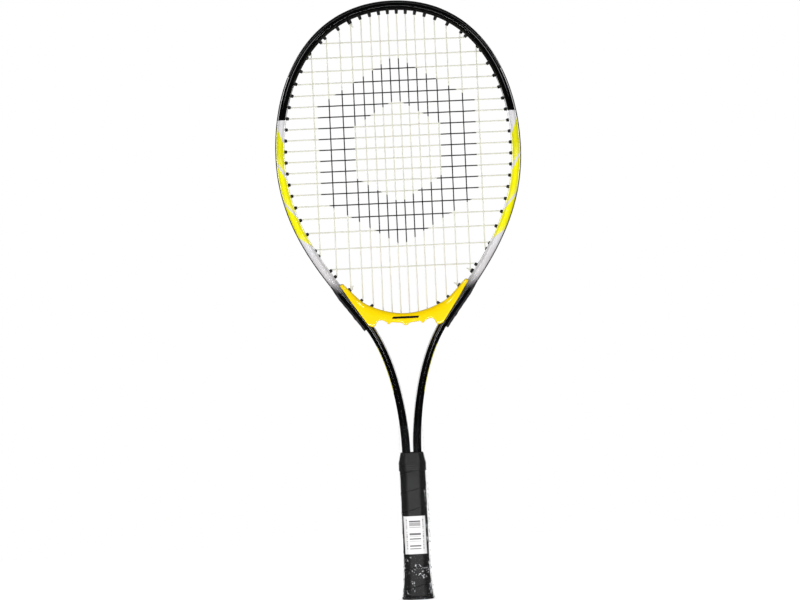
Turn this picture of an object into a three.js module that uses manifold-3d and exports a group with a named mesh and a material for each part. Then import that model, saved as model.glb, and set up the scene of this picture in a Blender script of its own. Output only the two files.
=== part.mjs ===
// Tennis racket, millimetres. +Z runs from the butt to the tip, +X across the face, -Y is the front.
// The origin is the middle of the butt's end face.

import * as THREE from 'three';
import { mergeVertices } from 'three/addons/utils/BufferGeometryUtils.js';
import Module from 'manifold-3d';

const wasm = await Module();
wasm.setup();

// ---------------------------------------------------------------- driving dimensions
const GAP = 0.3;

// Centreline of the frame tube, right half: crown, shoulder, throat, then the straight shaft.
const CROWN_Z = 679.95;
const CROWN_PULL = 89.2;
const HEAD_HALF_WIDTH = 134.96;
const WIDEST_Z = 511.5;
const PULL_ABOVE_WIDEST = 91.7;
const PULL_BELOW_WIDEST = 93.1;
const KNEE_X = 41.85;
const KNEE_Z = 312.9;
const KNEE_ANGLE = 0.59;
const PULL_ABOVE_KNEE = 56.0;
const PULL_BELOW_KNEE = 42.2;
const SHAFT_X = 6.44;
const SHAFT_TOP_Z = 166.6;
const SHAFT_PULL = 54.2;
const SHAFT_FOOT_Z = 25;
const PIECE_STEPS = [14, 12, 6, 1];
const DISTINCT = 1e-3;
const MERGE_DISTANCE = 1e-4;
const BISECTIONS = 40;

// Frame tube section: half width in the plane of the face, half depth along Y.
const TUBE_HALF = 4.8;
const TUBE_HALF_DEPTH = 10.3;
const TUBE_FLAT = 4.4;
const TUBE_SHOULDER = [8.0, 3.8];
const TUBE_SIDE = 1.35;
const GROOVE_FLOOR = 2.7;
const WALL = 0.9;
const CORNER_INSET = 0.4;
const DRILL_OVERRUN = 2;

// Grommet strips lie in the tube's outer groove. Levels are measured outwards from the centreline.
const STRIP_UNDERSIDE = GROOVE_FLOOR + GAP;
const STRIP_FLOOR = 3.8;
const STRIP_HALF_DEPTH = TUBE_FLAT - GAP;
const LANE_HALF_DEPTH = 3.35;
const STRIP_PROUD = 5.75;
const GUARD_PROUD = 5.85;
const THROAT_STRIP_PROUD = 7.4;
const GUARD_END = 9 / 14;
const THROAT_STRIP_START = 1 + 8 / 12;
const THROAT_STRIP_END = 2.0;
const STRIP_JOINT = 0.003;
const FLANGE_LIFT = 0.35;
const GUARD_LIP = [[9.4, 2.75], [10.1, 3.45], [8.6, 5.0]];
const GUARD_CROWN_HALF_DEPTH = 4.6;
const THROAT_STRIP_HALF_DEPTH = 6.6;
const THROAT_STRIP_TOP_HALF_DEPTH = 5.2;

// Grommet barrels.
const BARREL_RADIUS = 1.9;
const TIE_BARREL_RADIUS = 2.6;
const HOLE_CLEARANCE = 0.35;
const BARREL_REACH_MAIN = 4.4;
const BARREL_REACH_CROSS = 3;
const BARREL_REACH_CROWDED = 1.3;
const BARREL_SIDES = 6;

// Strings.
const STRING_RADIUS = 0.7;
const BORE_HALF = STRING_RADIUS + GAP;
const SHARED_SHIFT = 0.85;
const SHARED_BORE_HALF = 1.8;
const STRING_LEVEL = STRIP_FLOOR + GAP + STRING_RADIUS;
const BEND_PAST_TIP = 0.5;
const MAIN_LANE = 1.6;
const CROSS_LANE = -1.6;
const TIE_LANE = 2.4;
const WEAVE = 1.75;
const LANE_EASING = 2.4;
const LANE_EASING_SHARE = 0.3;
const SETTLING_LENGTH = 2.5;
const MAINS_PER_SIDE = 8;
const CROSSES_PER_HALF = 9;
const CROSS_MIDDLE_Z = 518;
const CROSS_PITCH = 12.5;
const TAIL_LENGTH = 3;

// Throat bridge.
const BRIDGE_HALF_DEPTH = 11.5;
const BRIDGED_MAINS = 3;
const BRIDGE_MOUTH_Z = [339, 345.5, 358];
const BRIDGE_HOLE_RADIUS = 1.3;
const BRIDGE_LOOP_Z = 320.1;
const BRIDGE_SLOT_TOP_Z = BRIDGE_LOOP_Z + STRING_RADIUS + GAP;
const BRIDGE_SLOT_LOW_Z = 312;
const BRIDGE_SLOT_WIDTH = 2.6;
const BRIDGE_DRILL_HIGH_Z = 345;
const BRIDGE_FIT_PLACES = [1.5, 2.6];
const PIN_PLACE = 1.97;
const PIN_RADIUS = 1.6;
const PIN_SINK = 0.1;
const PIN_DEPTH_IN_BRIDGE = 7;

// Handle: an octagon that each layer grows outwards from, flaring towards the butt.
const PALLET_HALF_X = 12.85;
const PALLET_HALF_Y = 12.0;
const PALLET_BEVEL = 5.6;
const BEVEL_GROWTH = 0.586;
const HANDLE_TOP_Z = 168;
const PALLET_TOP_Z = 160;
const PALLET_LOW_Z = 5.7;
const PALLET_NECK_OFFSET = -1;
const SHAFT_FIT_PLACE = 2.8;
const FLARE_TOP_Z = 37;
const FLARE = 3.45;
const FLARE_POWER = 1.8;
const FLARE_LEVELS = [8, 14, 21, 29, FLARE_TOP_Z];
const NECK_TOP_Z = 23;
const CAP_TOP_Z = 22;
const CAP_FLOOR = 3.2;
const CAP_LIP = 2.4;
const GRIP_THICKNESS = 1.7;
const GRIP_TOP_Z = 156;
const GRIP_LOW_Z = 2.7;
const GRIP_TAPER_Z = 148;
const GRIP_NECK_Z = 152;
const GRIP_NECK_OFFSET = 0.9;
const COLLAR_LOW_Z = 147;
const COLLAR_SHOULDER_Z = 157;
const COLLAR_LOW_OFFSET = 2.9;
const COLLAR_SHOULDER_OFFSET = 2.6;
const COLLAR_TOP_OFFSET = 0.2;
const COLLAR_TOP_INNER_OFFSET = -0.5;
const TAPE_THICKNESS = 0.25;
const TAPE_MARGIN = 0.5;
const FILM_THICKNESS = 0.3;
const FILM_LOW_Z = 0.3;
const FILM_TOP_Z = 200;
const FILM_STEP_Z = 141;
const FILM_COLLAR_OFFSET = 3.2;
const FILM_NECK_OFFSET = 1.9;
const LABEL_WIDTH = 28;
const LABEL_HEIGHT = 43.5;
const LABEL_LOW_Z = 52;
const LABEL_THICKNESS = 0.25;
const PLUG_RADIUS = 8.7;
const PLUG_FLANGE_RADIUS = 10.2;
const PLUG_INSET = 0.5;
const PLUG_TOP_Z = 4.7;
const ROUND_SIDES = 16;
const STAPLE_Z = 12;
const STAPLE_WIRE = 0.9;
const STAPLE_WIDTH = 9;
const STAPLE_DEPTH = 8;
const STAPLE_SINK = 1;
const STAPLE_POCKET = 4;

// ---------------------------------------------------------------- solids and booleans
function solidOf(geometry) {
  const bare = geometry.clone();
  bare.deleteAttribute('normal');
  bare.deleteAttribute('uv');
  const merged = mergeVertices(bare, MERGE_DISTANCE);
  return new wasm.Manifold(new wasm.Mesh({
    numProp: 3,
    vertProperties: Float32Array.from(merged.attributes.position.array),
    triVerts: Uint32Array.from(merged.index.array),
  }));
}

function geometryOf(solid) {
  const mesh = solid.getMesh();
  const geometry = new THREE.BufferGeometry();
  geometry.setAttribute('position', new THREE.BufferAttribute(mesh.vertProperties, 3));
  geometry.setIndex(new THREE.BufferAttribute(mesh.triVerts, 1));
  geometry.computeVertexNormals();
  return geometry;
}

function joined(base, additions) {
  return additions.reduce((whole, geometry) => whole.add(solidOf(geometry)), base);
}

function cut(base, removals) {
  return removals.reduce((rest, geometry) => rest.subtract(solidOf(geometry)), base);
}

function shapeFrom(points) {
  return new THREE.Shape(points.map(([x, y]) => new THREE.Vector2(x, y)));
}

function box(sizeX, sizeY, sizeZ, x, y, z) {
  return new THREE.BoxGeometry(sizeX, sizeY, sizeZ).translate(x, y, z);
}

// ---------------------------------------------------------------- the rim and its places
const kneeDirection = new THREE.Vector3(Math.sin(KNEE_ANGLE), 0, Math.cos(KNEE_ANGLE));
const crownPoint = new THREE.Vector3(0, 0, CROWN_Z);
const widestPoint = new THREE.Vector3(HEAD_HALF_WIDTH, 0, WIDEST_Z);
const kneePoint = new THREE.Vector3(KNEE_X, 0, KNEE_Z);
const shaftTop = new THREE.Vector3(SHAFT_X, 0, SHAFT_TOP_Z);
const shaftFoot = new THREE.Vector3(SHAFT_X, 0, SHAFT_FOOT_Z);

function moved(point, x, z) {
  return new THREE.Vector3(point.x + x, 0, point.z + z);
}

const rimPieces = [
  new THREE.CubicBezierCurve3(
    crownPoint, moved(crownPoint, CROWN_PULL, 0),
    moved(widestPoint, 0, PULL_ABOVE_WIDEST), widestPoint),
  new THREE.CubicBezierCurve3(
    widestPoint, moved(widestPoint, 0, -PULL_BELOW_WIDEST),
    kneePoint.clone().addScaledVector(kneeDirection, PULL_ABOVE_KNEE), kneePoint),
  new THREE.CubicBezierCurve3(
    kneePoint, kneePoint.clone().addScaledVector(kneeDirection, -PULL_BELOW_KNEE),
    moved(shaftTop, 0, SHAFT_PULL), shaftTop),
  new THREE.LineCurve3(shaftTop, shaftFoot),
];

// A place on the rim is a signed number: 0 at the crown, 1 at the widest point, 2 at the knee,
// 3 at the top of the shaft and 4 at its foot, negative on the left side.
function rimAt(place) {
  const side = place < 0 ? -1 : 1;
  const along = Math.abs(place);
  const index = Math.min(Math.floor(along), rimPieces.length - 1);
  const piece = rimPieces[index];
  const point = piece.getPoint(along - index);
  const down = piece.getTangent(along - index);
  return {
    point: new THREE.Vector3(side * point.x, 0, point.z),
    tangent: new THREE.Vector3(down.x, 0, side * down.z).normalize(),
    inward: new THREE.Vector3(side * down.z, 0, -down.x).normalize(),
  };
}

// A point beside the rim: level is outwards from the centreline, y is the depth.
function besideRim(place, level, y) {
  const { point, inward } = rimAt(place);
  const beside = point.clone().addScaledVector(inward, -level);
  beside.y = y;
  return beside;
}

const rimStops = [0];
PIECE_STEPS.forEach((steps, piece) => {
  for (let step = 1; step <= steps; step++) {
    rimStops.push(piece + step / steps);
    rimStops.push(-(piece + step / steps));
  }
});
rimStops.sort((a, b) => a - b);

function placesBetween(from, to) {
  const low = Math.min(from, to);
  const high = Math.max(from, to);
  const inner = rimStops.filter((stop) => stop > low + DISTINCT && stop < high - DISTINCT);
  return from < to ? [from, ...inner, to] : [from, ...inner.reverse(), to];
}

class StationCurve extends THREE.Curve {
  constructor(stations) {
    super();
    this.stations = stations;
  }

  stationAt(fraction) {
    return this.stations[Math.round(fraction * (this.stations.length - 1))];
  }

  getPointAt(fraction) {
    return this.stationAt(fraction).point.clone();
  }

  getTangentAt(fraction) {
    return this.stationAt(fraction).tangent.clone();
  }
}

function sweep(shape, stations) {
  return new THREE.ExtrudeGeometry(shape, {
    steps: stations.length - 1,
    bevelEnabled: false,
    extrudePath: new StationCurve(stations),
  });
}

function sweepAlongRim(shape, from, to) {
  return sweep(shape, placesBetween(from, to).map(rimAt));
}

// Sections are drawn with depth to the right and the inside of the head upwards.
function mirroredSection(rightHalf) {
  const leftHalf = rightHalf.map(([depth, level]) => [-depth, level]).reverse();
  return shapeFrom([...rightHalf, ...leftHalf]);
}

// ---------------------------------------------------------------- holes through the rim
// Finds the place between two others where the barrel's mouth lies on a string's line.
function placeOnLine(axis, value, reach, from, to) {
  let near = from;
  let far = to;
  const error = (place) => besideRim(place, -(TUBE_HALF + reach + BEND_PAST_TIP), 0)[axis] - value;
  const nearSign = Math.sign(error(near));
  for (let halving = 0; halving < BISECTIONS; halving++) {
    const middle = (near + far) / 2;
    if (Math.sign(error(middle)) === nearSign) near = middle;
    else far = middle;
  }
  return (near + far) / 2;
}

// Finds the place whose inward line passes through a given mouth, and how far in the mouth is.
function placeTowards(mouth, from, to) {
  let near = from;
  let far = to;
  for (let halving = 0; halving < BISECTIONS; halving++) {
    const middle = (near + far) / 2;
    const { point, tangent } = rimAt(middle);
    if (mouth.clone().sub(point).dot(tangent) > 0) near = middle;
    else far = middle;
  }
  const distance = mouth.distanceTo(rimAt(near).point);
  return { place: near, reach: distance - TUBE_HALF - BEND_PAST_TIP };
}

function hole(side, place, reach, shared = 0) {
  return { place: side * place, reach, shared };
}

function mainX(index) {
  return 10 * (index + 0.5) + 0.026 * index ** 3.4;
}

function crossZ(row) {
  const stretch = row > 0 ? 9.5 : -24.5;
  return CROSS_MIDDLE_Z + CROSS_PITCH * row + stretch * (Math.abs(row) / CROSSES_PER_HALF) ** 5;
}

const TIE_MAIN_TOP = 4;
const TIE_MAIN_BOTTOM = 5;
const TIE_CROSS_BOTTOM = 6;

// Shared barrels hold a string's end beside a main: the main is shifted to y = shared.
function topHole(side, index) {
  let reach = BARREL_REACH_MAIN;
  if (index === MAINS_PER_SIDE - 2) reach = BARREL_REACH_CROSS;
  if (index === MAINS_PER_SIDE - 1) reach = BARREL_REACH_CROWDED;
  const shared = side < 0 && index === TIE_MAIN_TOP ? SHARED_SHIFT : 0;
  return hole(side, placeOnLine('x', mainX(index), reach, 0, 0.9), reach, shared);
}

function bottomHole(side, index) {
  let shared = 0;
  if (index === TIE_MAIN_BOTTOM) shared = -SHARED_SHIFT;
  if (index === TIE_CROSS_BOTTOM && side > 0) shared = SHARED_SHIFT;
  const mouthZ = BRIDGE_MOUTH_Z[index - BRIDGED_MAINS];
  if (mouthZ) {
    const { place, reach } = placeTowards(new THREE.Vector3(mainX(index), 0, mouthZ), 1.5, 2.3);
    return hole(side, place, reach, shared);
  }
  const reach = index === MAINS_PER_SIDE - 1 ? BARREL_REACH_CROWDED : BARREL_REACH_CROSS;
  return hole(side, placeOnLine('x', mainX(index), reach, 1.3, 2.1), reach, shared);
}

// The second cross from each end leaves the head right beside the outermost main.
function crossHole(side, row) {
  const crowded = Math.abs(row) === CROSSES_PER_HALF - 1;
  const reach = crowded ? BARREL_REACH_CROWDED : BARREL_REACH_CROSS;
  return hole(side, placeOnLine('z', crossZ(row), reach, 0.2, 1.9), reach);
}

const columns = [];
for (let index = MAINS_PER_SIDE - 1; index >= 0; index--) columns.push({ side: -1, index });
for (let index = 0; index < MAINS_PER_SIDE; index++) columns.push({ side: 1, index });
for (const column of columns) {
  column.x = column.side * mainX(column.index);
  column.top = topHole(column.side, column.index);
  column.bottom = column.index < BRIDGED_MAINS ? null : bottomHole(column.side, column.index);
}

const rows = [];
for (let row = CROSSES_PER_HALF; row >= -CROSSES_PER_HALF; row--) {
  rows.push({ z: crossZ(row), left: crossHole(-1, row), right: crossHole(1, row) });
}

const frameHoles = [
  ...columns.map((column) => column.top),
  ...columns.filter((column) => column.bottom).map((column) => column.bottom),
  ...rows.flatMap((row) => [row.left, row.right]),
];

// A piece along a hole's axis between two levels, with its own depth along world Y.
function alongHole(geometry, place, fromLevel, toLevel) {
  const { tangent, inward } = rimAt(place);
  const middle = besideRim(place, (fromLevel + toLevel) / 2, 0);
  const across = tangent.clone();
  const depth = new THREE.Vector3().crossVectors(across, inward);
  const turn = new THREE.Matrix4().makeBasis(across, inward, depth);
  return geometry.applyMatrix4(turn).translate(middle.x, middle.y, middle.z);
}

function rodInHole(place, radius, fromLevel, toLevel) {
  const length = fromLevel - toLevel;
  const rod = new THREE.CylinderGeometry(radius, radius, length, BARREL_SIDES);
  return alongHole(rod, place, fromLevel, toLevel);
}

function boreInHole(frameHole, fromLevel, toLevel) {
  const halfDepth = frameHole.shared ? SHARED_BORE_HALF : BORE_HALF;
  const bore = new THREE.BoxGeometry(2 * BORE_HALF, fromLevel - toLevel, 2 * halfDepth);
  return alongHole(bore, frameHole.place, fromLevel, toLevel);
}

function barrelRadius(frameHole) {
  return frameHole.shared ? TIE_BARREL_RADIUS : BARREL_RADIUS;
}

// ---------------------------------------------------------------- frame tube
function frameTube() {
  const outer = mirroredSection([
    [TUBE_FLAT, -GROOVE_FLOOR], [TUBE_FLAT, -TUBE_HALF], [TUBE_SHOULDER[0], -TUBE_SHOULDER[1]],
    [TUBE_HALF_DEPTH, -TUBE_SIDE], [TUBE_HALF_DEPTH, TUBE_SIDE],
    [TUBE_SHOULDER[0], TUBE_SHOULDER[1]], [TUBE_FLAT, TUBE_HALF],
  ]);
  const cavity = [
    [TUBE_FLAT + WALL, -GROOVE_FLOOR + WALL], [TUBE_FLAT + WALL, -TUBE_HALF + WALL + CORNER_INSET],
    [TUBE_SHOULDER[0] - CORNER_INSET, -TUBE_SHOULDER[1] + WALL],
    [TUBE_HALF_DEPTH - WALL, -TUBE_SIDE + CORNER_INSET],
    [TUBE_HALF_DEPTH - WALL, TUBE_SIDE - CORNER_INSET],
    [TUBE_SHOULDER[0] - CORNER_INSET, TUBE_SHOULDER[1] - WALL],
    [TUBE_FLAT - CORNER_INSET, TUBE_HALF - WALL],
  ];
  outer.holes.push(mirroredSection(cavity));
  const tube = solidOf(sweepAlongRim(outer, -PIECE_STEPS.length, PIECE_STEPS.length));
  const drilled = frameHoles.map((frameHole) =>
    rodInHole(frameHole.place, barrelRadius(frameHole) + HOLE_CLEARANCE,
      TUBE_HALF + DRILL_OVERRUN, -TUBE_HALF - DRILL_OVERRUN));
  const pinned = [-1, 1].map((side) =>
    rodInHole(side * PIN_PLACE, PIN_RADIUS + HOLE_CLEARANCE,
      TUBE_HALF + DRILL_OVERRUN, -TUBE_HALF - DRILL_OVERRUN));
  return cut(tube, [...drilled, ...pinned]);
}

// The room the tube takes up, one gap larger all round and without its groove.
function tubeEnvelope(from, to) {
  const section = mirroredSection([
    [TUBE_FLAT + GAP / 2, -TUBE_HALF - GAP], [TUBE_SHOULDER[0] + GAP, -TUBE_SHOULDER[1] - GAP],
    [TUBE_HALF_DEPTH + GAP, -TUBE_SIDE - GAP / 2], [TUBE_HALF_DEPTH + GAP, TUBE_SIDE + GAP / 2],
    [TUBE_SHOULDER[0] + GAP, TUBE_SHOULDER[1] + GAP], [TUBE_FLAT + GAP / 2, TUBE_HALF + GAP],
  ]);
  return sweepAlongRim(section, from, to);
}

// ---------------------------------------------------------------- grommet strips and bumper guard
const stripSection = mirroredSection([
  [STRIP_HALF_DEPTH, -STRIP_UNDERSIDE], [STRIP_HALF_DEPTH, -STRIP_PROUD],
  [LANE_HALF_DEPTH, -STRIP_PROUD], [LANE_HALF_DEPTH, -STRIP_FLOOR],
].reverse());

const guardSection = mirroredSection([
  [STRIP_HALF_DEPTH, -STRIP_UNDERSIDE], [STRIP_HALF_DEPTH, -TUBE_HALF - FLANGE_LIFT],
  [TUBE_SHOULDER[0] + GAP, -TUBE_SHOULDER[1] - GAP],
  ...GUARD_LIP.map(([depth, level]) => [depth, -level]),
  [GUARD_CROWN_HALF_DEPTH, -GUARD_PROUD], [LANE_HALF_DEPTH, -GUARD_PROUD], [LANE_HALF_DEPTH, -STRIP_FLOOR],
].reverse());

const throatStripSection = mirroredSection([
  [STRIP_HALF_DEPTH, -STRIP_UNDERSIDE], [STRIP_HALF_DEPTH, -TUBE_HALF - FLANGE_LIFT],
  [THROAT_STRIP_HALF_DEPTH, -TUBE_HALF], [THROAT_STRIP_HALF_DEPTH, -THROAT_STRIP_PROUD + CORNER_INSET],
  [THROAT_STRIP_TOP_HALF_DEPTH, -THROAT_STRIP_PROUD],
  [LANE_HALF_DEPTH, -THROAT_STRIP_PROUD], [LANE_HALF_DEPTH, -STRIP_FLOOR],
].reverse());

function strip(section, from, to) {
  const own = frameHoles.filter(({ place }) => place > from && place < to);
  const middleOfBase = (STRIP_UNDERSIDE + STRIP_FLOOR) / 2;
  const barrels = own.map((frameHole) =>
    rodInHole(frameHole.place, barrelRadius(frameHole), middleOfBase, -TUBE_HALF - frameHole.reach));
  const bores = own.map((frameHole) =>
    boreInHole(frameHole, STRIP_FLOOR + 1, -TUBE_HALF - frameHole.reach - 1));
  return cut(joined(solidOf(sweepAlongRim(section, from, to)), barrels), bores);
}

// ---------------------------------------------------------------- throat bridge and its pins
function bridgeOutline() {
  const upperEdge = [[61.4, 354.8], [49, 342.7], [36.3, 335.7], [17.5, 329.6], [0, 327.6]];
  const acrossUpperEdge = [
    ...upperEdge, ...upperEdge.slice(0, -1).reverse().map(([x, z]) => [-x, z]), [-69.3, 363.2],
  ];
  const shape = new THREE.Shape();
  shape.moveTo(69.3, 363.2);
  shape.splineThru(acrossUpperEdge.map(([x, z]) => new THREE.Vector2(x, z)));
  const lowerEdge = [
    [72.5, 361.5], [41.3, 315.3], [37.4, 313.5], [35, 315.1], [33.8, 319], [30, 320.4],
    [23.5, 318.9], [20.6, 315.8], [18.2, 315.8], [15.5, 317.7], [5.5, 316.6], [2.2, 313.9],
  ];
  for (const [x, z] of lowerEdge) shape.lineTo(-x, z);
  for (const [x, z] of lowerEdge.reverse()) shape.lineTo(x, z);
  shape.closePath();
  return shape;
}

// The slot in the bridge's lower edge that hides a main string's loop between two neighbours.
function loopSlot(fromX, toX) {
  const length = Math.abs(toX - fromX) + BRIDGE_SLOT_WIDTH;
  const height = BRIDGE_SLOT_TOP_Z - BRIDGE_SLOT_LOW_Z;
  return box(length, BRIDGE_SLOT_WIDTH, height, (fromX + toX) / 2, 0, BRIDGE_SLOT_LOW_Z + height / 2);
}

function throatBridge() {
  const slab = new THREE.ExtrudeGeometry(bridgeOutline(), {
    depth: 2 * BRIDGE_HALF_DEPTH, bevelEnabled: false, curveSegments: 2,
  });
  slab.rotateX(Math.PI / 2).translate(0, BRIDGE_HALF_DEPTH, 0);
  const removals = [];
  for (const side of [-1, 1]) {
    const fitted = BRIDGE_FIT_PLACES.map((place) => side * place).sort((a, b) => a - b);
    removals.push(tubeEnvelope(...fitted));
    removals.push(rodInHole(side * PIN_PLACE, PIN_RADIUS + HOLE_CLEARANCE, TUBE_HALF,
      -TUBE_HALF - PIN_DEPTH_IN_BRIDGE - GAP));
    for (let index = 0; index < BRIDGED_MAINS; index++) {
      const drill = new THREE.CylinderGeometry(BRIDGE_HOLE_RADIUS, BRIDGE_HOLE_RADIUS,
        BRIDGE_DRILL_HIGH_Z - BRIDGE_LOOP_Z, BARREL_SIDES);
      drill.rotateX(Math.PI / 2).translate(side * mainX(index), 0, (BRIDGE_DRILL_HIGH_Z + BRIDGE_LOOP_Z) / 2);
      removals.push(drill);
    }
    removals.push(loopSlot(side * mainX(1), side * mainX(2)));
  }
  removals.push(loopSlot(-mainX(0), mainX(0)));
  for (const { bottom, index } of columns) {
    if (!bottom || index > TIE_MAIN_BOTTOM) continue;
    removals.push(rodInHole(bottom.place, barrelRadius(bottom) + HOLE_CLEARANCE, TUBE_HALF,
      -TUBE_HALF - bottom.reach - DRILL_OVERRUN));
  }
  return cut(solidOf(slab), removals);
}

function bridgePin(side) {
  return solidOf(rodInHole(side * PIN_PLACE, PIN_RADIUS, GROOVE_FLOOR - PIN_SINK,
    -TUBE_HALF - PIN_DEPTH_IN_BRIDGE));
}

// ---------------------------------------------------------------- strings
function stringSolid(points) {
  const kept = points.filter((point, at) => at === 0 || point.distanceTo(points[at - 1]) > DISTINCT);
  const stations = kept.map((point, at) => {
    const before = kept[Math.max(at - 1, 0)];
    const after = kept[Math.min(at + 1, kept.length - 1)];
    const tangent = new THREE.Vector3();
    if (after !== point) tangent.add(after.clone().sub(point).normalize());
    if (before !== point) tangent.add(point.clone().sub(before).normalize());
    return { point, tangent: tangent.normalize() };
  });
  const round = STRING_RADIUS;
  const section = shapeFrom([[round, 0], [0, round], [-round, 0], [0, -round]]);
  return solidOf(sweep(section, stations));
}

function outsideEnd(frameHole, shift) {
  return besideRim(frameHole.place, STRING_LEVEL, shift);
}

function insideEnd(frameHole, shift) {
  return besideRim(frameHole.place, -(TUBE_HALF + frameHole.reach + BEND_PAST_TIP), shift);
}

// The run in the groove from one hole to the next: out to its lane, along it and back to the hole.
function laneRun(fromHole, toHole, lane) {
  const start = fromHole.place;
  const end = toHole.place;
  const length = rimAt(start).point.distanceTo(rimAt(end).point);
  const easing = (end - start) * Math.min(LANE_EASING / length, LANE_EASING_SHARE);
  return placesBetween(start + easing, end - easing).map((place) => besideRim(place, STRING_LEVEL, lane));
}

function mainEnd(column, atTop) {
  const frameHole = atTop ? column.top : column.bottom;
  if (!frameHole) return [new THREE.Vector3(column.x, 0, BRIDGE_LOOP_Z)];
  const points = [outsideEnd(frameHole, frameHole.shared), insideEnd(frameHole, frameHole.shared)];
  if (frameHole.shared) {
    const settling = atTop ? -SETTLING_LENGTH : SETTLING_LENGTH;
    points.push(new THREE.Vector3(column.x, 0, insideEnd(frameHole, 0).z + settling));
  }
  return points;
}

// The string's end comes back through a shared barrel and stands a little way out of it.
function tieOff(sharedHole) {
  const shift = -sharedHole.shared;
  const inside = insideEnd(sharedHole, shift);
  const tail = besideRim(sharedHole.place, -(TUBE_HALF + sharedHole.reach + TAIL_LENGTH), shift);
  return [outsideEnd(sharedHole, shift), inside, tail];
}

function mainString() {
  const tieColumns = columns.filter(({ index }) => index === TIE_MAIN_BOTTOM);
  const route = [
    ...tieOff(tieColumns[0].bottom).reverse(),
    ...laneRun(tieColumns[0].bottom, columns[0].bottom, TIE_LANE),
  ];
  columns.forEach((column, at) => {
    const goingUp = at % 2 === 0;
    route.push(...mainEnd(column, !goingUp), ...mainEnd(column, goingUp).reverse());
    const next = columns[at + 1];
    const from = goingUp ? column.top : column.bottom;
    if (!next || !from) return;
    const lane = !goingUp && next.side * column.x > 0 && column.index >= TIE_MAIN_BOTTOM
      && next.index >= TIE_MAIN_BOTTOM ? CROSS_LANE : MAIN_LANE;
    route.push(...laneRun(from, goingUp ? next.top : next.bottom, lane));
  });
  route.push(...laneRun(columns.at(-1).bottom, tieColumns[1].bottom, TIE_LANE));
  route.push(...tieOff(tieColumns[1].bottom));
  return stringSolid(route);
}

// Mains lie straight in the plane of the face, and each cross goes over and under them in turn.
function crossPoints(row, at) {
  const left = insideEnd(row.left, 0);
  const right = insideEnd(row.right, 0);
  const crossings = columns
    .map((column, columnAt) => ({ x: column.x, y: (columnAt + at) % 2 ? WEAVE : -WEAVE }))
    .filter(({ x }) => x > left.x && x < right.x);
  return [
    outsideEnd(row.left, 0), left,
    ...crossings.map(({ x, y }) => new THREE.Vector3(x, y, row.z)),
    right, outsideEnd(row.right, 0),
  ];
}

function crossString() {
  const startTie = columns.find(({ side, index }) => side < 0 && index === TIE_MAIN_TOP).top;
  const endTie = columns.find(({ side, index }) => side > 0 && index === TIE_CROSS_BOTTOM).bottom;
  const route = [...tieOff(startTie).reverse(), ...laneRun(startTie, rows[0].left, CROSS_LANE)];
  rows.forEach((row, at) => {
    const rightwards = at % 2 === 0;
    const points = crossPoints(row, at);
    route.push(...(rightwards ? points : points.reverse()));
    const next = rows[at + 1];
    const exit = rightwards ? row.right : row.left;
    if (next) route.push(...laneRun(exit, rightwards ? next.right : next.left, CROSS_LANE));
    else route.push(...laneRun(exit, endTie, CROSS_LANE));
  });
  route.push(...tieOff(endTie));
  return stringSolid(route);
}

// ---------------------------------------------------------------- handle
function octagon(offset) {
  const halfX = PALLET_HALF_X + offset;
  const halfY = PALLET_HALF_Y + offset;
  const bevel = PALLET_BEVEL + BEVEL_GROWTH * offset;
  return shapeFrom([
    [halfX, halfY - bevel], [halfX - bevel, halfY], [bevel - halfX, halfY], [-halfX, halfY - bevel],
    [-halfX, bevel - halfY], [bevel - halfX, -halfY], [halfX - bevel, -halfY], [halfX, bevel - halfY],
  ]);
}

function flareAt(z) {
  return z < FLARE_TOP_Z ? FLARE * ((FLARE_TOP_Z - z) / FLARE_TOP_Z) ** FLARE_POWER : 0;
}

// An octagonal bar whose offset from the pallets follows a function of height.
function octagonBar(levels, offsetAt) {
  const bar = new THREE.ExtrudeGeometry(octagon(0), {
    depth: levels.length - 1, steps: levels.length - 1, bevelEnabled: false,
  });
  const position = bar.attributes.position;
  for (let at = 0; at < position.count; at++) {
    const z = levels[Math.round(position.getZ(at))];
    const offset = offsetAt(z);
    const x = position.getX(at);
    const y = position.getY(at);
    const onSide = Math.abs(x) > PALLET_HALF_X - 1;
    const growth = 1 - BEVEL_GROWTH;
    position.setX(at, x + Math.sign(x) * offset * (onSide ? 1 : growth));
    position.setY(at, y + Math.sign(y) * offset * (onSide ? growth : 1));
    position.setZ(at, z);
  }
  return bar;
}

function gripOffset(z) {
  if (z >= GRIP_NECK_Z) return GRIP_NECK_OFFSET;
  const full = GAP + GRIP_THICKNESS;
  if (z <= GRIP_TAPER_Z) return full + flareAt(z);
  return full + (GRIP_NECK_OFFSET - full) * (z - GRIP_TAPER_Z) / (GRIP_NECK_Z - GRIP_TAPER_Z);
}

function pallet(side) {
  const body = solidOf(octagonBar([NECK_TOP_Z, PALLET_TOP_Z], () => 0))
    .add(solidOf(octagonBar([PALLET_LOW_Z, NECK_TOP_Z], () => PALLET_NECK_OFFSET)));
  const half = 2 * PALLET_HALF_X;
  const otherHalf = box(2 * half, half, 2 * HANDLE_TOP_Z, 0, -side * (half - GAP) / 2, HANDLE_TOP_Z);
  const foot = PIECE_STEPS.length;
  return cut(body, [
    otherHalf, tubeEnvelope(-foot, -SHAFT_FIT_PLACE), tubeEnvelope(SHAFT_FIT_PLACE, foot),
    ...stapleRoom(side), box(4 * SHAFT_X, 2 * TUBE_HALF_DEPTH, 2, 0, 0, SHAFT_FOOT_Z - 1),
  ]);
}

function stapleParts(side, extra) {
  const outerY = PALLET_HALF_Y + flareAt(STAPLE_Z) - STAPLE_SINK;
  const wire = STAPLE_WIRE + 2 * extra;
  const crown = box(STAPLE_WIDTH + 2 * extra, wire, wire, 0, side * outerY, STAPLE_Z);
  const legs = [-1, 1].map((end) => box(wire, STAPLE_DEPTH + extra, wire,
    end * (STAPLE_WIDTH - STAPLE_WIRE) / 2, side * (outerY - (STAPLE_DEPTH - extra) / 2), STAPLE_Z));
  return { crown, legs, outerY, wire };
}

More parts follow.
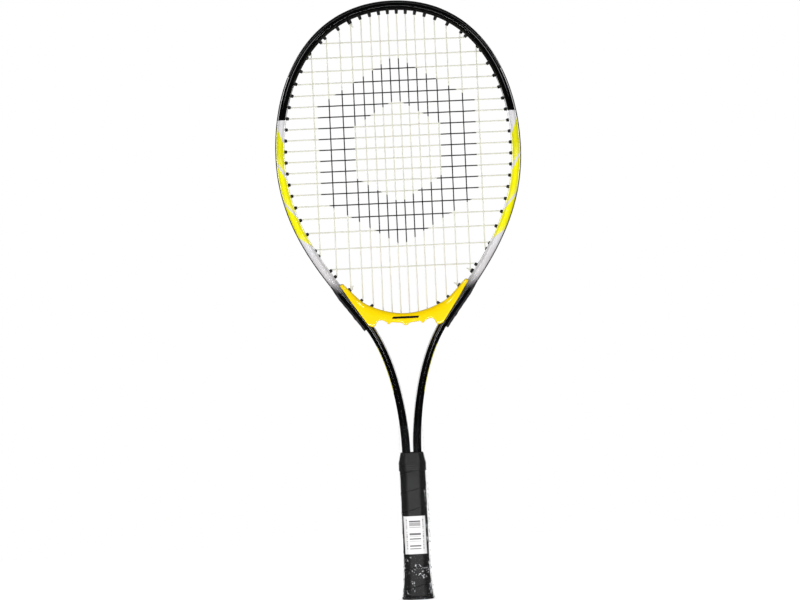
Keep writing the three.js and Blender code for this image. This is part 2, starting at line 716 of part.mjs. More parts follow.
function staple(side) {
  const { crown, legs } = stapleParts(side, 0);
  return joined(solidOf(crown), legs);
}

// Clearance for one staple: its legs' holes and a pocket that opens outwards over its crown.
function stapleRoom(side) {
  const { legs, outerY, wire } = stapleParts(side, GAP);
  const pocketY = side * (outerY + STAPLE_POCKET / 2);
  const pocket = box(STAPLE_WIDTH + 2 * GAP, wire + STAPLE_POCKET, wire, 0, pocketY, STAPLE_Z);
  return [...legs, pocket];
}

function buttCap() {
  const skirt = octagonBar([0, ...FLARE_LEVELS.filter((z) => z < CAP_TOP_Z), CAP_TOP_Z], flareAt);
  const lip = octagonBar([0, CAP_LIP], (z) => GAP + GRIP_THICKNESS + flareAt(z));
  const inside = octagonBar([CAP_FLOOR, CAP_TOP_Z + 1], () => GAP + PALLET_NECK_OFFSET);
  const doorwayRadius = PLUG_RADIUS + GAP;
  const doorway = new THREE.CylinderGeometry(doorwayRadius, doorwayRadius, 2 * NECK_TOP_Z, ROUND_SIDES);
  doorway.rotateX(Math.PI / 2);
  return cut(joined(solidOf(skirt), [lip]), [inside, doorway, ...stapleRoom(-1), ...stapleRoom(1)]);
}

function buttPlug() {
  const profile = [
    [0, PLUG_INSET], [PLUG_RADIUS, PLUG_INSET], [PLUG_RADIUS, CAP_FLOOR + GAP],
    [PLUG_FLANGE_RADIUS, CAP_FLOOR + GAP], [PLUG_FLANGE_RADIUS, PLUG_TOP_Z], [0, PLUG_TOP_Z],
  ];
  const lathe = new THREE.LatheGeometry(profile.map(([r, z]) => new THREE.Vector2(r, z)), ROUND_SIDES);
  return solidOf(lathe.rotateX(Math.PI / 2));
}

function gripWrap() {
  const levels = [GRIP_LOW_Z, ...FLARE_LEVELS, GRIP_TAPER_Z, GRIP_NECK_Z, GRIP_TOP_Z];
  const inside = octagonBar([GRIP_LOW_Z - 1, ...FLARE_LEVELS, GRIP_TOP_Z + 1], (z) => GAP + flareAt(z));
  return cut(solidOf(octagonBar(levels, gripOffset)), [inside]);
}

function finishingTape() {
  const levels = [GRIP_NECK_Z + TAPE_MARGIN, GRIP_TOP_Z - TAPE_MARGIN];
  const outer = octagonBar(levels, () => GRIP_NECK_OFFSET + GAP + TAPE_THICKNESS);
  const inner = octagonBar([levels[0] - 1, levels[1] + 1], () => GRIP_NECK_OFFSET + GAP);
  return cut(solidOf(outer), [inner]);
}

// The rubber collar covers the grip's end and narrows above the pallets to hug the shafts.
function collarOffset(z) {
  if (z <= COLLAR_LOW_Z) return COLLAR_LOW_OFFSET;
  return z <= COLLAR_SHOULDER_Z ? COLLAR_SHOULDER_OFFSET : COLLAR_TOP_OFFSET;
}

function gripCollar() {
  const outer = octagonBar([COLLAR_LOW_Z, COLLAR_SHOULDER_Z, HANDLE_TOP_Z], collarOffset);
  const overGrip = octagonBar([COLLAR_LOW_Z - 1, GRIP_TAPER_Z, GRIP_NECK_Z, GRIP_TOP_Z + GAP],
    (z) => (z >= GRIP_NECK_Z ? GRIP_NECK_OFFSET + 2 * GAP + TAPE_THICKNESS : gripOffset(z) + GAP));
  const overPallets = octagonBar([GRIP_TOP_Z, PALLET_TOP_Z + GAP], () => GAP);
  const overShafts = octagonBar([PALLET_TOP_Z, HANDLE_TOP_Z + 1], () => COLLAR_TOP_INNER_OFFSET);
  return cut(solidOf(outer), [overGrip, overPallets, overShafts]);
}

// The clear sleeve follows the grip, steps out round the collar and narrows above it.
function filmOffset(z) {
  if (z <= FILM_STEP_Z) return gripOffset(z) + GAP;
  return z <= COLLAR_SHOULDER_Z ? FILM_COLLAR_OFFSET : FILM_NECK_OFFSET;
}

function gripFilm() {
  const levels = [
    FILM_LOW_Z, ...FLARE_LEVELS, FILM_STEP_Z, COLLAR_LOW_Z, COLLAR_SHOULDER_Z, HANDLE_TOP_Z, FILM_TOP_Z,
  ];
  const outer = octagonBar(levels, (z) => filmOffset(z) + FILM_THICKNESS);
  const cavityLevels = [FILM_LOW_Z - 1, ...levels.slice(1, -1), FILM_TOP_Z + 1];
  const inner = octagonBar(cavityLevels, filmOffset);
  return cut(solidOf(outer), [inner]);
}

function priceLabel() {
  const offset = 2 * GAP + GRIP_THICKNESS + FILM_THICKNESS + GAP;
  const frontY = -PALLET_HALF_Y - offset;
  const halfFacet = PALLET_HALF_X + offset - (PALLET_BEVEL + BEVEL_GROWTH * offset);
  const wrap = (LABEL_WIDTH / 2 - halfFacet) * Math.SQRT1_2;
  const mitre = LABEL_THICKNESS * Math.tan(Math.PI / 8);
  const halfSection = [
    [halfFacet, frontY], [halfFacet + wrap, frontY + wrap],
    [halfFacet + wrap + LABEL_THICKNESS, frontY + wrap - mitre], [halfFacet + mitre, frontY - LABEL_THICKNESS],
  ];
  const label = new THREE.ExtrudeGeometry(mirroredSection(halfSection), {
    depth: LABEL_HEIGHT, bevelEnabled: false,
  });
  return solidOf(label.translate(0, 0, LABEL_LOW_Z));
}

// ---------------------------------------------------------------- materials and assembly
function finish(colour, roughness, metalness = 0, extra = {}) {
  return () => new THREE.MeshStandardMaterial({ color: colour, roughness, metalness, ...extra });
}

const blackPaint = finish(0x111214, 0.25, 0.3);
const yellowPlastic = finish(0xffde00, 0.3);
const darkPlastic = finish(0x1c1c1e, 0.5);
const greyPlastic = finish(0x3a3a3c, 0.6);
const naturalNylon = finish(0xe1decd, 0.35);
const foam = finish(0xd8cfa6, 0.9);
const steel = finish(0xb9bcc0, 0.35, 1);
const blackGrip = finish(0x1a1a1a, 0.75);
const rubber = finish(0x151515, 0.8);
const clearFilm = finish(0xf4f6f8, 0.1, 0, { transparent: true, opacity: 0.25 });
const paper = finish(0xf5f5f2, 0.7);

const racket = new THREE.Group();

function place(name, solid, material) {
  const mesh = new THREE.Mesh(geometryOf(solid), material());
  mesh.name = name;
  racket.add(mesh);
}

place('frame_tube', frameTube(), blackPaint);
place('throat_bridge', throatBridge(), yellowPlastic);
place('left_bridge_pin', bridgePin(-1), steel);
place('right_bridge_pin', bridgePin(1), steel);
place('bumper_guard', strip(guardSection, -GUARD_END, GUARD_END), darkPlastic);
place('left_grommet_strip',
  strip(stripSection, -THROAT_STRIP_START + STRIP_JOINT, -GUARD_END - STRIP_JOINT), darkPlastic);
place('right_grommet_strip',
  strip(stripSection, GUARD_END + STRIP_JOINT, THROAT_STRIP_START - STRIP_JOINT), darkPlastic);
place('left_throat_strip', strip(throatStripSection, -THROAT_STRIP_END, -THROAT_STRIP_START), greyPlastic);
place('right_throat_strip', strip(throatStripSection, THROAT_STRIP_START, THROAT_STRIP_END), greyPlastic);
place('main_string', mainString(), naturalNylon);
place('cross_string', crossString(), naturalNylon);
place('front_pallet', pallet(-1), foam);
place('back_pallet', pallet(1), foam);
place('butt_cap', buttCap(), darkPlastic);
place('butt_plug', buttPlug(), darkPlastic);
place('front_staple', staple(-1), steel);
place('back_staple', staple(1), steel);
place('grip_wrap', gripWrap(), blackGrip);
place('finishing_tape', finishingTape(), darkPlastic);
place('grip_collar', gripCollar(), rubber);
place('grip_film', gripFilm(), clearFilm);
place('price_label', priceLabel(), paper);

export default racket;
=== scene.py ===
"""Looks of the tennis racket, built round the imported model. Lengths are millimetres until a mesh is made."""

import math

import bmesh
import bpy
import numpy as np
from mathutils import Matrix, Vector, noise


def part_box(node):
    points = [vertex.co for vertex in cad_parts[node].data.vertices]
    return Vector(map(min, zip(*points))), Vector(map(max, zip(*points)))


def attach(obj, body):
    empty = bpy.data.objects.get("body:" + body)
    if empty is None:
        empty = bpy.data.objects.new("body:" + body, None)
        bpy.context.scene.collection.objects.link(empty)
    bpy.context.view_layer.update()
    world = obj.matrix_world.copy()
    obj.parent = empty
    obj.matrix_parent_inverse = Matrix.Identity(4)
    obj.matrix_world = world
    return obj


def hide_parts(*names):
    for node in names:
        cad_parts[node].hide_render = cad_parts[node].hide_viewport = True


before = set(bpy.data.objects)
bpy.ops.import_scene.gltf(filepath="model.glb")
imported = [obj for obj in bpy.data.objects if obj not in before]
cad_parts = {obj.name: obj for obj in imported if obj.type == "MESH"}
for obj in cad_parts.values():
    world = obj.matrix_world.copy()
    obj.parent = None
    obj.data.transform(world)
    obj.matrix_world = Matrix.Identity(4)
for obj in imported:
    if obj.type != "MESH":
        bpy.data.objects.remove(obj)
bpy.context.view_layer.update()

MM = 0.001
SIDES = ((-1, "left"), (1, "right"))
scene = bpy.context.scene

# ---- driving dimensions, as in the design
CROWN = (0.0, 679.95)
CROWN_PULL = 89.2
WIDEST = (134.96, 511.5)
PULL_ABOVE_WIDEST = 91.7
PULL_BELOW_WIDEST = 93.1
KNEE = (41.85, 312.9)
KNEE_ANGLE = 0.59
PULL_ABOVE_KNEE = 56.0
PULL_BELOW_KNEE = 42.2
SHAFT_TOP = (6.44, 166.6)
SHAFT_PULL = 54.2
SHAFT_FOOT = (6.44, 25.0)

GAP = 0.3
TUBE_HALF = 4.8
TUBE_HALF_DEPTH = 10.3
TUBE_FLAT = 4.4
GROOVE_FLOOR = 2.7
STRIP_UNDERSIDE = GROOVE_FLOOR + GAP
STRIP_FLOOR = 3.8
STRIP_HALF_DEPTH = TUBE_FLAT - GAP
LANE_HALF_DEPTH = 3.35
STRIP_PROUD = 5.75
GUARD_PROUD = 5.85
THROAT_STRIP_PROUD = 7.4
GUARD_END = 9 / 14
THROAT_STRIP_START = 1 + 8 / 12
THROAT_STRIP_END = 2.0
STRIP_JOINT = 0.003
WELD_DISTANCE = 0.001

BARREL_RADIUS = 1.9
BARREL_CHAMFER = 0.25
BARREL_CORNERS = 16
BARREL_CLEARANCE = 0.45
TIE_BARREL_RADIUS = 2.6
REACH_MAIN = 4.4
REACH_CROSS = 3.0
REACH_CROWDED = 1.3
STRING_RADIUS = 0.7
SHARED_SHIFT = 0.85
SHARED_BORE_HALF = 1.8
STRING_LEVEL = STRIP_FLOOR + GAP + STRING_RADIUS
BEND_PAST_TIP = 0.5
LANE_EASING = 2.4
LONGEST_TURN = 1.1
KNOT_STEPS = 48
MAIN_LANE = 1.6
CROSS_LANE = -1.6
TIE_LANE = 2.4
MAINS_PER_SIDE = 8
CROSSES_PER_HALF = 9
TIE_MAIN_TOP = 4
TIE_MAIN_BOTTOM = 5
TIE_CROSS_BOTTOM = 6
BRIDGED_MAINS = 3
BRIDGE_MOUTH_Z = [339, 345.5, 358]
BRIDGE_LOOP_Z = 320.1
BRIDGE_SLOT_WIDTH = 2.6
BRIDGE_DRILL_RADIUS = 1.3
WEAVE = 0.68

BRIDGE_HALF_DEPTH = 11.1
BRIDGE_THINNING = 2.6
BRIDGE_TIP = [(69.6, 363.6), (73.4, 361.4)]
BRIDGE_TIP_EDGE = 0.7
BRIDGE_EDGE = 1.8
BELOW_BRIDGE_Z = 308.0
DRILL_TOP_Z = 345.0
DRILL_PAST_TIP = 3.0
BRIDGED_MAIN_FOOT_Z = 328.0
STRIPE_MIDDLE_Z = 323.0
STRIPE_BOTTOM_Z = 321.5
STRIPE_TOP_Z = 324.1
STRIPE_LEAN = 0.5
STRIPE_HALF_LENGTH = 15.1
STENCIL_MIDDLE_Z = 514.0
STENCIL_HALF_HEIGHT = 109.0
STENCIL_HALF_WIDTH = 90.5
STENCIL_SLOPE = 0.602

PALLET_HALF_X = 12.85
PALLET_HALF_Y = 12.0
PALLET_BEVEL = 5.6
GRIP_OFFSET = 2.0
GRIP_PITCH = 22.0
GRIP_SEAM = 0.985
LAP_HEIGHT = 0.34
SEAM_DEPTH = 0.42
GRIP_ROWS = 330
COLLAR_ROWS = 60
FILM_ROWS = 300
FIN_ROWS = 160
LABEL_ROWS = 40
LABEL_COLUMNS = 34
FLARE_TOP_Z = 37.0
FLARE = 3.45
FLARE_POWER = 1.8
GRIP_TOP_Z = 156.5
COLLAR_SHOULDER_Z = 157.0
PALLET_TOP_Z = 160.0
LABEL_HALF_WIDTH = 14.0
LABEL_LEAN = 0.014
LABEL_SHIFT = 0.4
LABEL_OFFSET = 3.15
LABEL_THICKNESS = 0.14
FACET_NARROWING = 0.586
FILM_OFFSET = GRIP_OFFSET + 0.62
FILM_SHEET = 0.06
FIN_REACH = 1.9
FIN_CORNER = 0
PLUG_RECESS_Z = 3.2

FLOOR_RADIUS = 1.3
FLOOR_DROP = 0.0004
LENS_LENGTH = 200.0
SENSOR_WIDTH = 36.0
VIEW_WIDTH = 0.9166
VIEW_MIDDLE = (-0.0056, 0.3428)
RACKET_LEAN = 2.6


# ---- small geometry tools
def turned(start, corner, end, steps):
    """Points of the short curve that takes a corner's place."""
    shares = [step / steps for step in range(steps + 1)]
    return [(1 - t) ** 2 * start + 2 * t * (1 - t) * corner + t * t * end for t in shares]


def lengths_along(points):
    return np.concatenate([[0], np.cumsum(np.linalg.norm(np.diff(points, axis=0), axis=1))])


def rounded(points, cuts, steps, closed=True):
    """The outline with each corner replaced by a short curve that starts its cut away from the corner."""
    points = [np.array(point, float) for point in points]
    count = len(points)
    if not hasattr(cuts, "__len__"):
        cuts = [cuts] * count
    result = []
    for at, corner in enumerate(points):
        if not closed and at in (0, count - 1):
            result.append(corner)
            continue
        before = points[at - 1] - corner
        after = points[(at + 1) % count] - corner
        cut = min(cuts[at], 0.48 * np.linalg.norm(before), 0.48 * np.linalg.norm(after))
        start = corner + before / np.linalg.norm(before) * cut
        end = corner + after / np.linalg.norm(after) * cut
        result.extend(turned(start, corner, end, steps))
    return np.array(result)


def resampled(points, count):
    """Evenly spaced points round a closed outline."""
    ring = np.vstack([points, points[:1]])
    lengths = lengths_along(ring)
    wanted = np.linspace(0, lengths[-1], count, endpoint=False)
    return np.stack([np.interp(wanted, lengths, ring[:, axis]) for axis in range(ring.shape[1])], axis=1)


def smoothstep(value, low, high):
    t = np.clip((np.asarray(value, float) - low) / (high - low), 0, 1)
    return t * t * (3 - 2 * t)


def ripple(x, y, z):
    """Smooth noise between -1 and 1."""
    return noise.noise(Vector((x, y, z)))


def face_outwards(mesh, welded=False):
    """Turns every face outwards, after joining doubled vertices if asked."""
    work = bmesh.new()
    work.from_mesh(mesh)
    if welded:
        bmesh.ops.remove_doubles(work, verts=work.verts, dist=WELD_DISTANCE * MM)
    bmesh.ops.recalc_face_normals(work, faces=work.faces)
    work.to_mesh(mesh)
    work.free()


class Shell:
    """Vertices and faces of one piece, gathered from rings of points."""

    def __init__(self):
        self.vertices = []
        self.faces = []
        self.values = {}

    def add_rings(self, rings, caps=True, **values):
        rings = np.asarray(rings, float)
        count, around, _ = rings.shape
        base = len(self.vertices)
        self.vertices.extend(rings.reshape(-1, 3).tolist())
        for ring in range(count - 1):
            for at in range(around):
                after = (at + 1) % around
                low = base + ring * around
                high = low + around
                self.faces.append((low + at, low + after, high + after, high + at))
        if caps:
            self.faces.append(tuple(range(base, base + around)))
            self.faces.append(tuple(range(base + (count - 1) * around, base + count * around)))
        for name, value in values.items():
            self.values.setdefault(name, []).extend(np.broadcast_to(value, (count, around)).ravel().tolist())

    def mesh(self, name):
        made = bpy.data.meshes.new(name)
        made.from_pydata((np.array(self.vertices) * MM).tolist(), [], self.faces)
        for value_name, value in self.values.items():
            layer = made.attributes.new(value_name, "FLOAT", "POINT")
            layer.data.foreach_set("value", np.array(value, np.float32))
        face_outwards(made)
        return made

    def piece(self, name, material, slot, replaced, sharp=40, welded=False):
        mesh = self.mesh(name)
        mesh.shade_smooth()
        mesh.set_sharp_from_angle(angle=math.radians(sharp))
        mesh.materials.append(material)
        if welded:
            face_outwards(mesh, welded=True)
        made = bpy.data.objects.new(name, mesh)
        scene.collection.objects.link(made)
        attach(made, "root")
        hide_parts(replaced)
        return made


def round_tube(points, radius, sides=10):
    """Rings of a round section along a path, turned as little as possible from one to the next."""
    points = np.asarray(points, float)
    steps = np.diff(points, axis=0)
    steps /= np.linalg.norm(steps, axis=1)[:, None]
    tangents = np.vstack([steps[:1], steps[:-1] + steps[1:], steps[-1:]])
    tangents /= np.linalg.norm(tangents, axis=1)[:, None]
    start = np.array([0.0, 1.0, 0.0]) if abs(tangents[0][1]) < 0.9 else np.array([1.0, 0.0, 0.0])
    normal = start - tangents[0] * start.dot(tangents[0])
    angles = np.linspace(0, 2 * math.pi, sides, endpoint=False)
    rings = []
    for point, tangent in zip(points, tangents):
        normal = normal - tangent * normal.dot(tangent)
        normal /= np.linalg.norm(normal)
        other = np.cross(tangent, normal)
        rings.append([point + radius * (math.cos(a) * normal + math.sin(a) * other) for a in angles])
    return rings


# ---- the rim and its places
def along_knee(distance):
    return (KNEE[0] + distance * math.sin(KNEE_ANGLE), KNEE[1] + distance * math.cos(KNEE_ANGLE))


RIM_PIECES = [
    [CROWN, (CROWN[0] + CROWN_PULL, CROWN[1]), (WIDEST[0], WIDEST[1] + PULL_ABOVE_WIDEST), WIDEST],
    [WIDEST, (WIDEST[0], WIDEST[1] - PULL_BELOW_WIDEST), along_knee(PULL_ABOVE_KNEE), KNEE],
    [KNEE, along_knee(-PULL_BELOW_KNEE), (SHAFT_TOP[0], SHAFT_TOP[1] + SHAFT_PULL), SHAFT_TOP],
]
RIM_LENGTHS = [242.5, 224.0, 152.5, SHAFT_TOP[1] - SHAFT_FOOT[1]]


def rim(place):
    """Point, direction of travel and inward direction, each (x, z). Place 0 is the crown, 1 the widest
    point, 2 the knee, 3 the shaft's top and 4 its foot, negative on the left."""
    side = -1 if place < 0 else 1
    along = abs(place)
    index = min(int(along), 3)
    t = along - index
    if index == 3:
        x, z = SHAFT_TOP[0], SHAFT_TOP[1] + t * (SHAFT_FOOT[1] - SHAFT_TOP[1])
        down = np.array([0.0, -1.0])
    else:
        a, b, c, d = (np.array(corner, float) for corner in RIM_PIECES[index])
        u = 1 - t
        x, z = u ** 3 * a + 3 * u * u * t * b + 3 * u * t * t * c + t ** 3 * d
        down = u * u * (b - a) + 2 * u * t * (c - b) + t * t * (d - c)
        down /= np.linalg.norm(down)
    point = np.array([side * x, z])
    return point, np.array([down[0], side * down[1]]), np.array([side * down[1], -down[0]])


def beside_rim(place, level, y):
    """A point beside the rim: level is outwards from the centreline, y is the depth."""
    point, _, inward = rim(place)
    x, z = point - inward * level
    return np.array([x, y, z])


def places(start, end, step=2.5):
    """Closely spaced places from start to end, with one at every whole number between."""
    marks = [start] + [mark for mark in range(-4, 5) if start < mark < end] + [end]
    result = []
    for low, high in zip(marks, marks[1:]):
        piece = min(int(abs((low + high) / 2)), 3)
        count = max(2, round(abs(high - low) * RIM_LENGTHS[piece] / step))
        result.extend(np.linspace(low, high, count, endpoint=False))
    return result + [end]


def rim_rings(section, at_places, lift=None):
    """Rings of a section of (depth, outward level) points along the rim."""
    rings = []
    for place in at_places:
        extra = lift(place) if lift else 0
        rings.append([beside_rim(place, level + (extra if level > TUBE_HALF else 0), depth)
                      for depth, level in section])
    return rings


def mirrored(right_half):
    return right_half + [(-depth, level) for depth, level in reversed(right_half)]


# ---- holes for the strings
def main_x(index):
    return 10 * (index + 0.5) + 0.026 * index ** 3.4


def cross_z(row):
    stretch = 9.5 if row > 0 else -24.5
    return 518 + 12.5 * row + stretch * (abs(row) / CROSSES_PER_HALF) ** 5


def halved(error, low, high):
    """The place between two others where error changes sign."""
    sign = math.copysign(1, error(low))
    for _ in range(40):
        middle = (low + high) / 2
        if math.copysign(1, error(middle)) == sign:
            low = middle
        else:
            high = middle
    return (low + high) / 2


def mouth(hole, shift=0.0):
    place, reach, _ = hole
    return beside_rim(place, -(TUBE_HALF + reach + BEND_PAST_TIP), shift)


def on_line(side, axis, value, reach, low, high, shared=0.0):
    place = halved(lambda at: mouth((at, reach, 0))[axis] - value, low, high)
    return (side * place, reach, shared)


def top_hole(side, index):
    reach = {MAINS_PER_SIDE - 2: REACH_CROSS, MAINS_PER_SIDE - 1: REACH_CROWDED}.get(index, REACH_MAIN)
    shared = SHARED_SHIFT if side < 0 and index == TIE_MAIN_TOP else 0.0
    return on_line(side, 0, main_x(index), reach, 0, 0.9, shared)


def bottom_hole(side, index):
    if index < BRIDGED_MAINS:
        return None
    shared = -SHARED_SHIFT if index == TIE_MAIN_BOTTOM else 0.0
    if index == TIE_CROSS_BOTTOM and side > 0:
        shared = SHARED_SHIFT
    if index - BRIDGED_MAINS < len(BRIDGE_MOUTH_Z):
        target = np.array([main_x(index), BRIDGE_MOUTH_Z[index - BRIDGED_MAINS]])
        place = halved(lambda at: (target - rim(at)[0]).dot(rim(at)[1]), 1.5, 2.3)
        reach = np.linalg.norm(target - rim(place)[0]) - TUBE_HALF - BEND_PAST_TIP
        return (side * place, reach, shared)
    reach = REACH_CROWDED if index == MAINS_PER_SIDE - 1 else REACH_CROSS
    return on_line(side, 0, main_x(index), reach, 1.3, 2.1, shared)


def cross_hole(side, row):
    reach = REACH_CROWDED if abs(row) == CROSSES_PER_HALF - 1 else REACH_CROSS
    return on_line(side, 2, cross_z(row), reach, 0.2, 1.9)


COLUMNS = [(-1, index) for index in reversed(range(MAINS_PER_SIDE))]
COLUMNS += [(1, index) for index in range(MAINS_PER_SIDE)]
COLUMN_X = [side * main_x(index) for side, index in COLUMNS]
TOPS = [top_hole(side, index) for side, index in COLUMNS]
BOTTOMS = [bottom_hole(side, index) for side, index in COLUMNS]
ROWS = range(CROSSES_PER_HALF, -CROSSES_PER_HALF - 1, -1)
ROW_Z = [cross_z(row) for row in ROWS]
LEFTS = [cross_hole(-1, row) for row in ROWS]
RIGHTS = [cross_hole(1, row) for row in ROWS]
HOLES = TOPS + [hole for hole in BOTTOMS if hole] + LEFTS + RIGHTS


# ---- shader tools
def srgb(red, green, blue):
    def linear(value):
        value /= 255
        return value / 12.92 if value <= 0.04045 else ((value + 0.055) / 1.055) ** 2.4
    return (linear(red), linear(green), linear(blue), 1.0)


class Finish:
    """A material with a Principled shader and short calls for the nodes that feed it."""

    def __init__(self, name, **settings):
        self.material = bpy.data.materials.new(name)
        self.material.use_nodes = True
        self.tree = self.material.node_tree
        self.shader = self.tree.nodes["Principled BSDF"]
        for setting, value in settings.items():
            self.shader.inputs[setting.replace("_", " ")].default_value = value
        coordinates = self.node("ShaderNodeTexCoord")
        self.where = coordinates.outputs["Object"]
        split = self.node("ShaderNodeSeparateXYZ", Vector=self.where)
        self.x, self.y, self.z = split.outputs

    def node(self, kind, settings=None, **inputs):
        made = self.tree.nodes.new(kind)
        for setting, value in (settings or {}).items():
            setattr(made, setting, value)
        for name, value in inputs.items():
            self.feed(made.inputs[name.replace("_", " ")], value)
        return made

    def feed(self, socket, value):
        if isinstance(value, bpy.types.NodeSocket):
            self.tree.links.new(value, socket)
        else:
            socket.default_value = value

    def math(self, operation, *values):
        made = self.node("ShaderNodeMath", {"operation": operation})
        for socket, value in zip(made.inputs, values):
            self.feed(socket, value)
        return made.outputs[0]

    def step(self, value, low, high):
        """0 below low, 1 above high, smooth between."""
        made = self.node("ShaderNodeMapRange", {"interpolation_type": "SMOOTHSTEP"}, Value=value,
                         From_Min=low, From_Max=high)
        return made.outputs[0]

    def product(self, result, *factors):
        for factor in factors:
            result = self.math("MULTIPLY", result, factor)
        return result

    def within(self, value, least, most, soft):
        """1 between least and most, 0 outside, smooth over twice the soft width."""
        return self.product(self.step(value, least - soft, least + soft),
                            self.step(value, most + soft, most - soft))

    def in_mm(self, value, shift=0.0):
        return self.math("MULTIPLY_ADD", value, 1 / MM, shift)

    def mix(self, factor, first, second):
        made = self.node("ShaderNodeMix", {"data_type": "RGBA"})
        self.feed(made.inputs[0], factor)
        self.feed(made.inputs[6], first)
        self.feed(made.inputs[7], second)
        return made.outputs[2]

    def stretched(self, factors):
        made = self.node("ShaderNodeVectorMath", {"operation": "MULTIPLY"})
        self.feed(made.inputs[0], self.where)
        made.inputs[1].default_value = factors
        return made.outputs[0]

    def noise(self, scale, detail=3.0, roughness=0.5, vector=None):
        made = self.node("ShaderNodeTexNoise", Vector=vector or self.where, Scale=scale, Detail=detail,
                         Roughness=roughness)
        return made.outputs["Fac"]

    def cells(self, scale):
        return self.node("ShaderNodeTexVoronoi", Vector=self.where, Scale=scale).outputs["Distance"]

    def value(self, name):
        return self.node("ShaderNodeAttribute", {"attribute_name": name}).outputs["Fac"]

    def colour(self, value):
        self.feed(self.shader.inputs["Base Color"], value)

    def rough(self, source, low, high):
        made = self.node("ShaderNodeMapRange", Value=source, To_Min=low, To_Max=high)
        self.feed(self.shader.inputs["Roughness"], made.outputs[0])

    def bump(self, height, distance, strength):
        previous = self.shader.inputs["Normal"]
        made = self.node("ShaderNodeBump", Height=height, Distance=distance * MM, Strength=strength)
        if previous.is_linked:
            self.tree.links.new(previous.links[0].from_socket, made.inputs["Normal"])
        self.tree.links.new(made.outputs[0], previous)


# ---- materials
BLACK = srgb(4, 4, 5)
WHITE = srgb(218, 217, 220)
SILVER = srgb(208, 205, 207)
LIME = srgb(224, 222, 22)
YELLOW = srgb(243, 238, 18)
PALE_YELLOW = srgb(243, 238, 96)


def frame_finish():
    """Gloss lacquer in bands that end on slanted lines, black above them and on the shafts."""
    paint = Finish("frame_lacquer", Coat_Weight=0.4, Coat_Roughness=0.05, Specular_IOR_Level=0.12)
    level = paint.value("level")
    height = paint.in_mm(paint.z)

    def below(outer, inner, soft=0.35):
        slope = (outer - inner) / (2 * TUBE_HALF)
        line = paint.math("MULTIPLY_ADD", level, slope, (outer + inner) / 2)
        return paint.step(paint.math("SUBTRACT", line, height), -soft, soft)

    def halftone(outer, inner, reach):
        fade = below(outer + reach / 2, inner + reach / 2, reach / 2)
        dots = paint.cells(1250.0)
        return paint.math("LESS_THAN", dots, paint.product(fade, 0.62))

    # Bands from the top down: the height of the upper edge outside and inside, and the colour below it.
    bands = [
        (554, 554, WHITE), (547, 525, paint.mix(halftone(508, 494, 24), LIME, PALE_YELLOW)),
        (507, 492.6, WHITE), (504, 484.6, paint.mix(halftone(461, 446, 20), YELLOW, PALE_YELLOW)),
        (461, 446.4, WHITE), (457.2, 440.2, paint.mix(halftone(419, 408, 16), YELLOW, PALE_YELLOW)),
        (419, 408, WHITE),
    ]
    colour = BLACK
    for outer, inner, ink in bands:
        colour = paint.mix(below(outer, inner), colour, ink)
    colour = paint.mix(below(400, 392, 12), colour, SILVER)
    speckle = paint.math("MULTIPLY_ADD", paint.noise(900.0, 2.0), 9.0, -4.5)
    fade_height = paint.math("ADD", height, speckle)
    fade = paint.math("SUBTRACT", 1.0, paint.step(fade_height, 351.0, 374.0))
    colour = paint.mix(fade, colour, BLACK)
    depth = paint.math("ABSOLUTE", paint.y)
    pinstripe = paint.product(paint.within(depth, 0.0051, 0.0069, 0.0001), paint.step(level, 3.9, 4.0),
                              paint.within(height, 237.0, 291.0, 1.0))
    colour = paint.mix(pinstripe, colour, YELLOW)
    scuffs = paint.step(paint.noise(60.0, 8.0, 0.75), 0.70, 0.74)
    colour = paint.mix(paint.product(scuffs, 0.12), colour, srgb(150, 150, 150))
    paint.colour(colour)
    paint.rough(paint.noise(45.0, 5.0), 0.05, 0.11)
    paint.bump(paint.noise(420.0, 2.0), 0.006, 0.5)
    return paint.material


def bridge_finish():
    paint = Finish("bridge_plastic", Coat_Weight=1.0, Coat_Roughness=0.04, Specular_IOR_Level=0.1)
    flow = paint.noise(38.0, 4.0, 0.6)
    yellow = paint.mix(flow, srgb(255, 221, 0), srgb(251, 211, 0))
    height = paint.in_mm(paint.z)
    # One plain stripe with slanted ends stands in the middle of the front face.
    lean = paint.math("MULTIPLY_ADD", height, -STRIPE_LEAN, STRIPE_LEAN * STRIPE_MIDDLE_Z)
    lean = paint.math("ABSOLUTE", paint.math("ADD", lean, paint.in_mm(paint.x)))
    stripe = paint.product(paint.step(lean, STRIPE_HALF_LENGTH + 0.1, STRIPE_HALF_LENGTH - 0.1),
                           paint.within(height, STRIPE_BOTTOM_Z, STRIPE_TOP_Z, 0.1),
                           paint.step(paint.y, -0.0085, -0.0087))
    paint.colour(paint.mix(stripe, yellow, srgb(18, 18, 20)))
    paint.rough(paint.noise(120.0, 4.0), 0.16, 0.30)
    paint.bump(paint.noise(500.0, 3.0), 0.02, 0.6)
    return paint.material


def strip_finish(name, dark, light, low, high):
    paint = Finish(name, IOR=1.48)
    wear = paint.step(paint.noise(240.0, 6.0, 0.7), 0.42, 0.72)
    paint.colour(paint.mix(wear, dark, light))
    paint.rough(paint.noise(320.0, 4.0), low, high)
    paint.bump(paint.noise(1500.0, 3.0), 0.04, 0.6)
    return paint.material


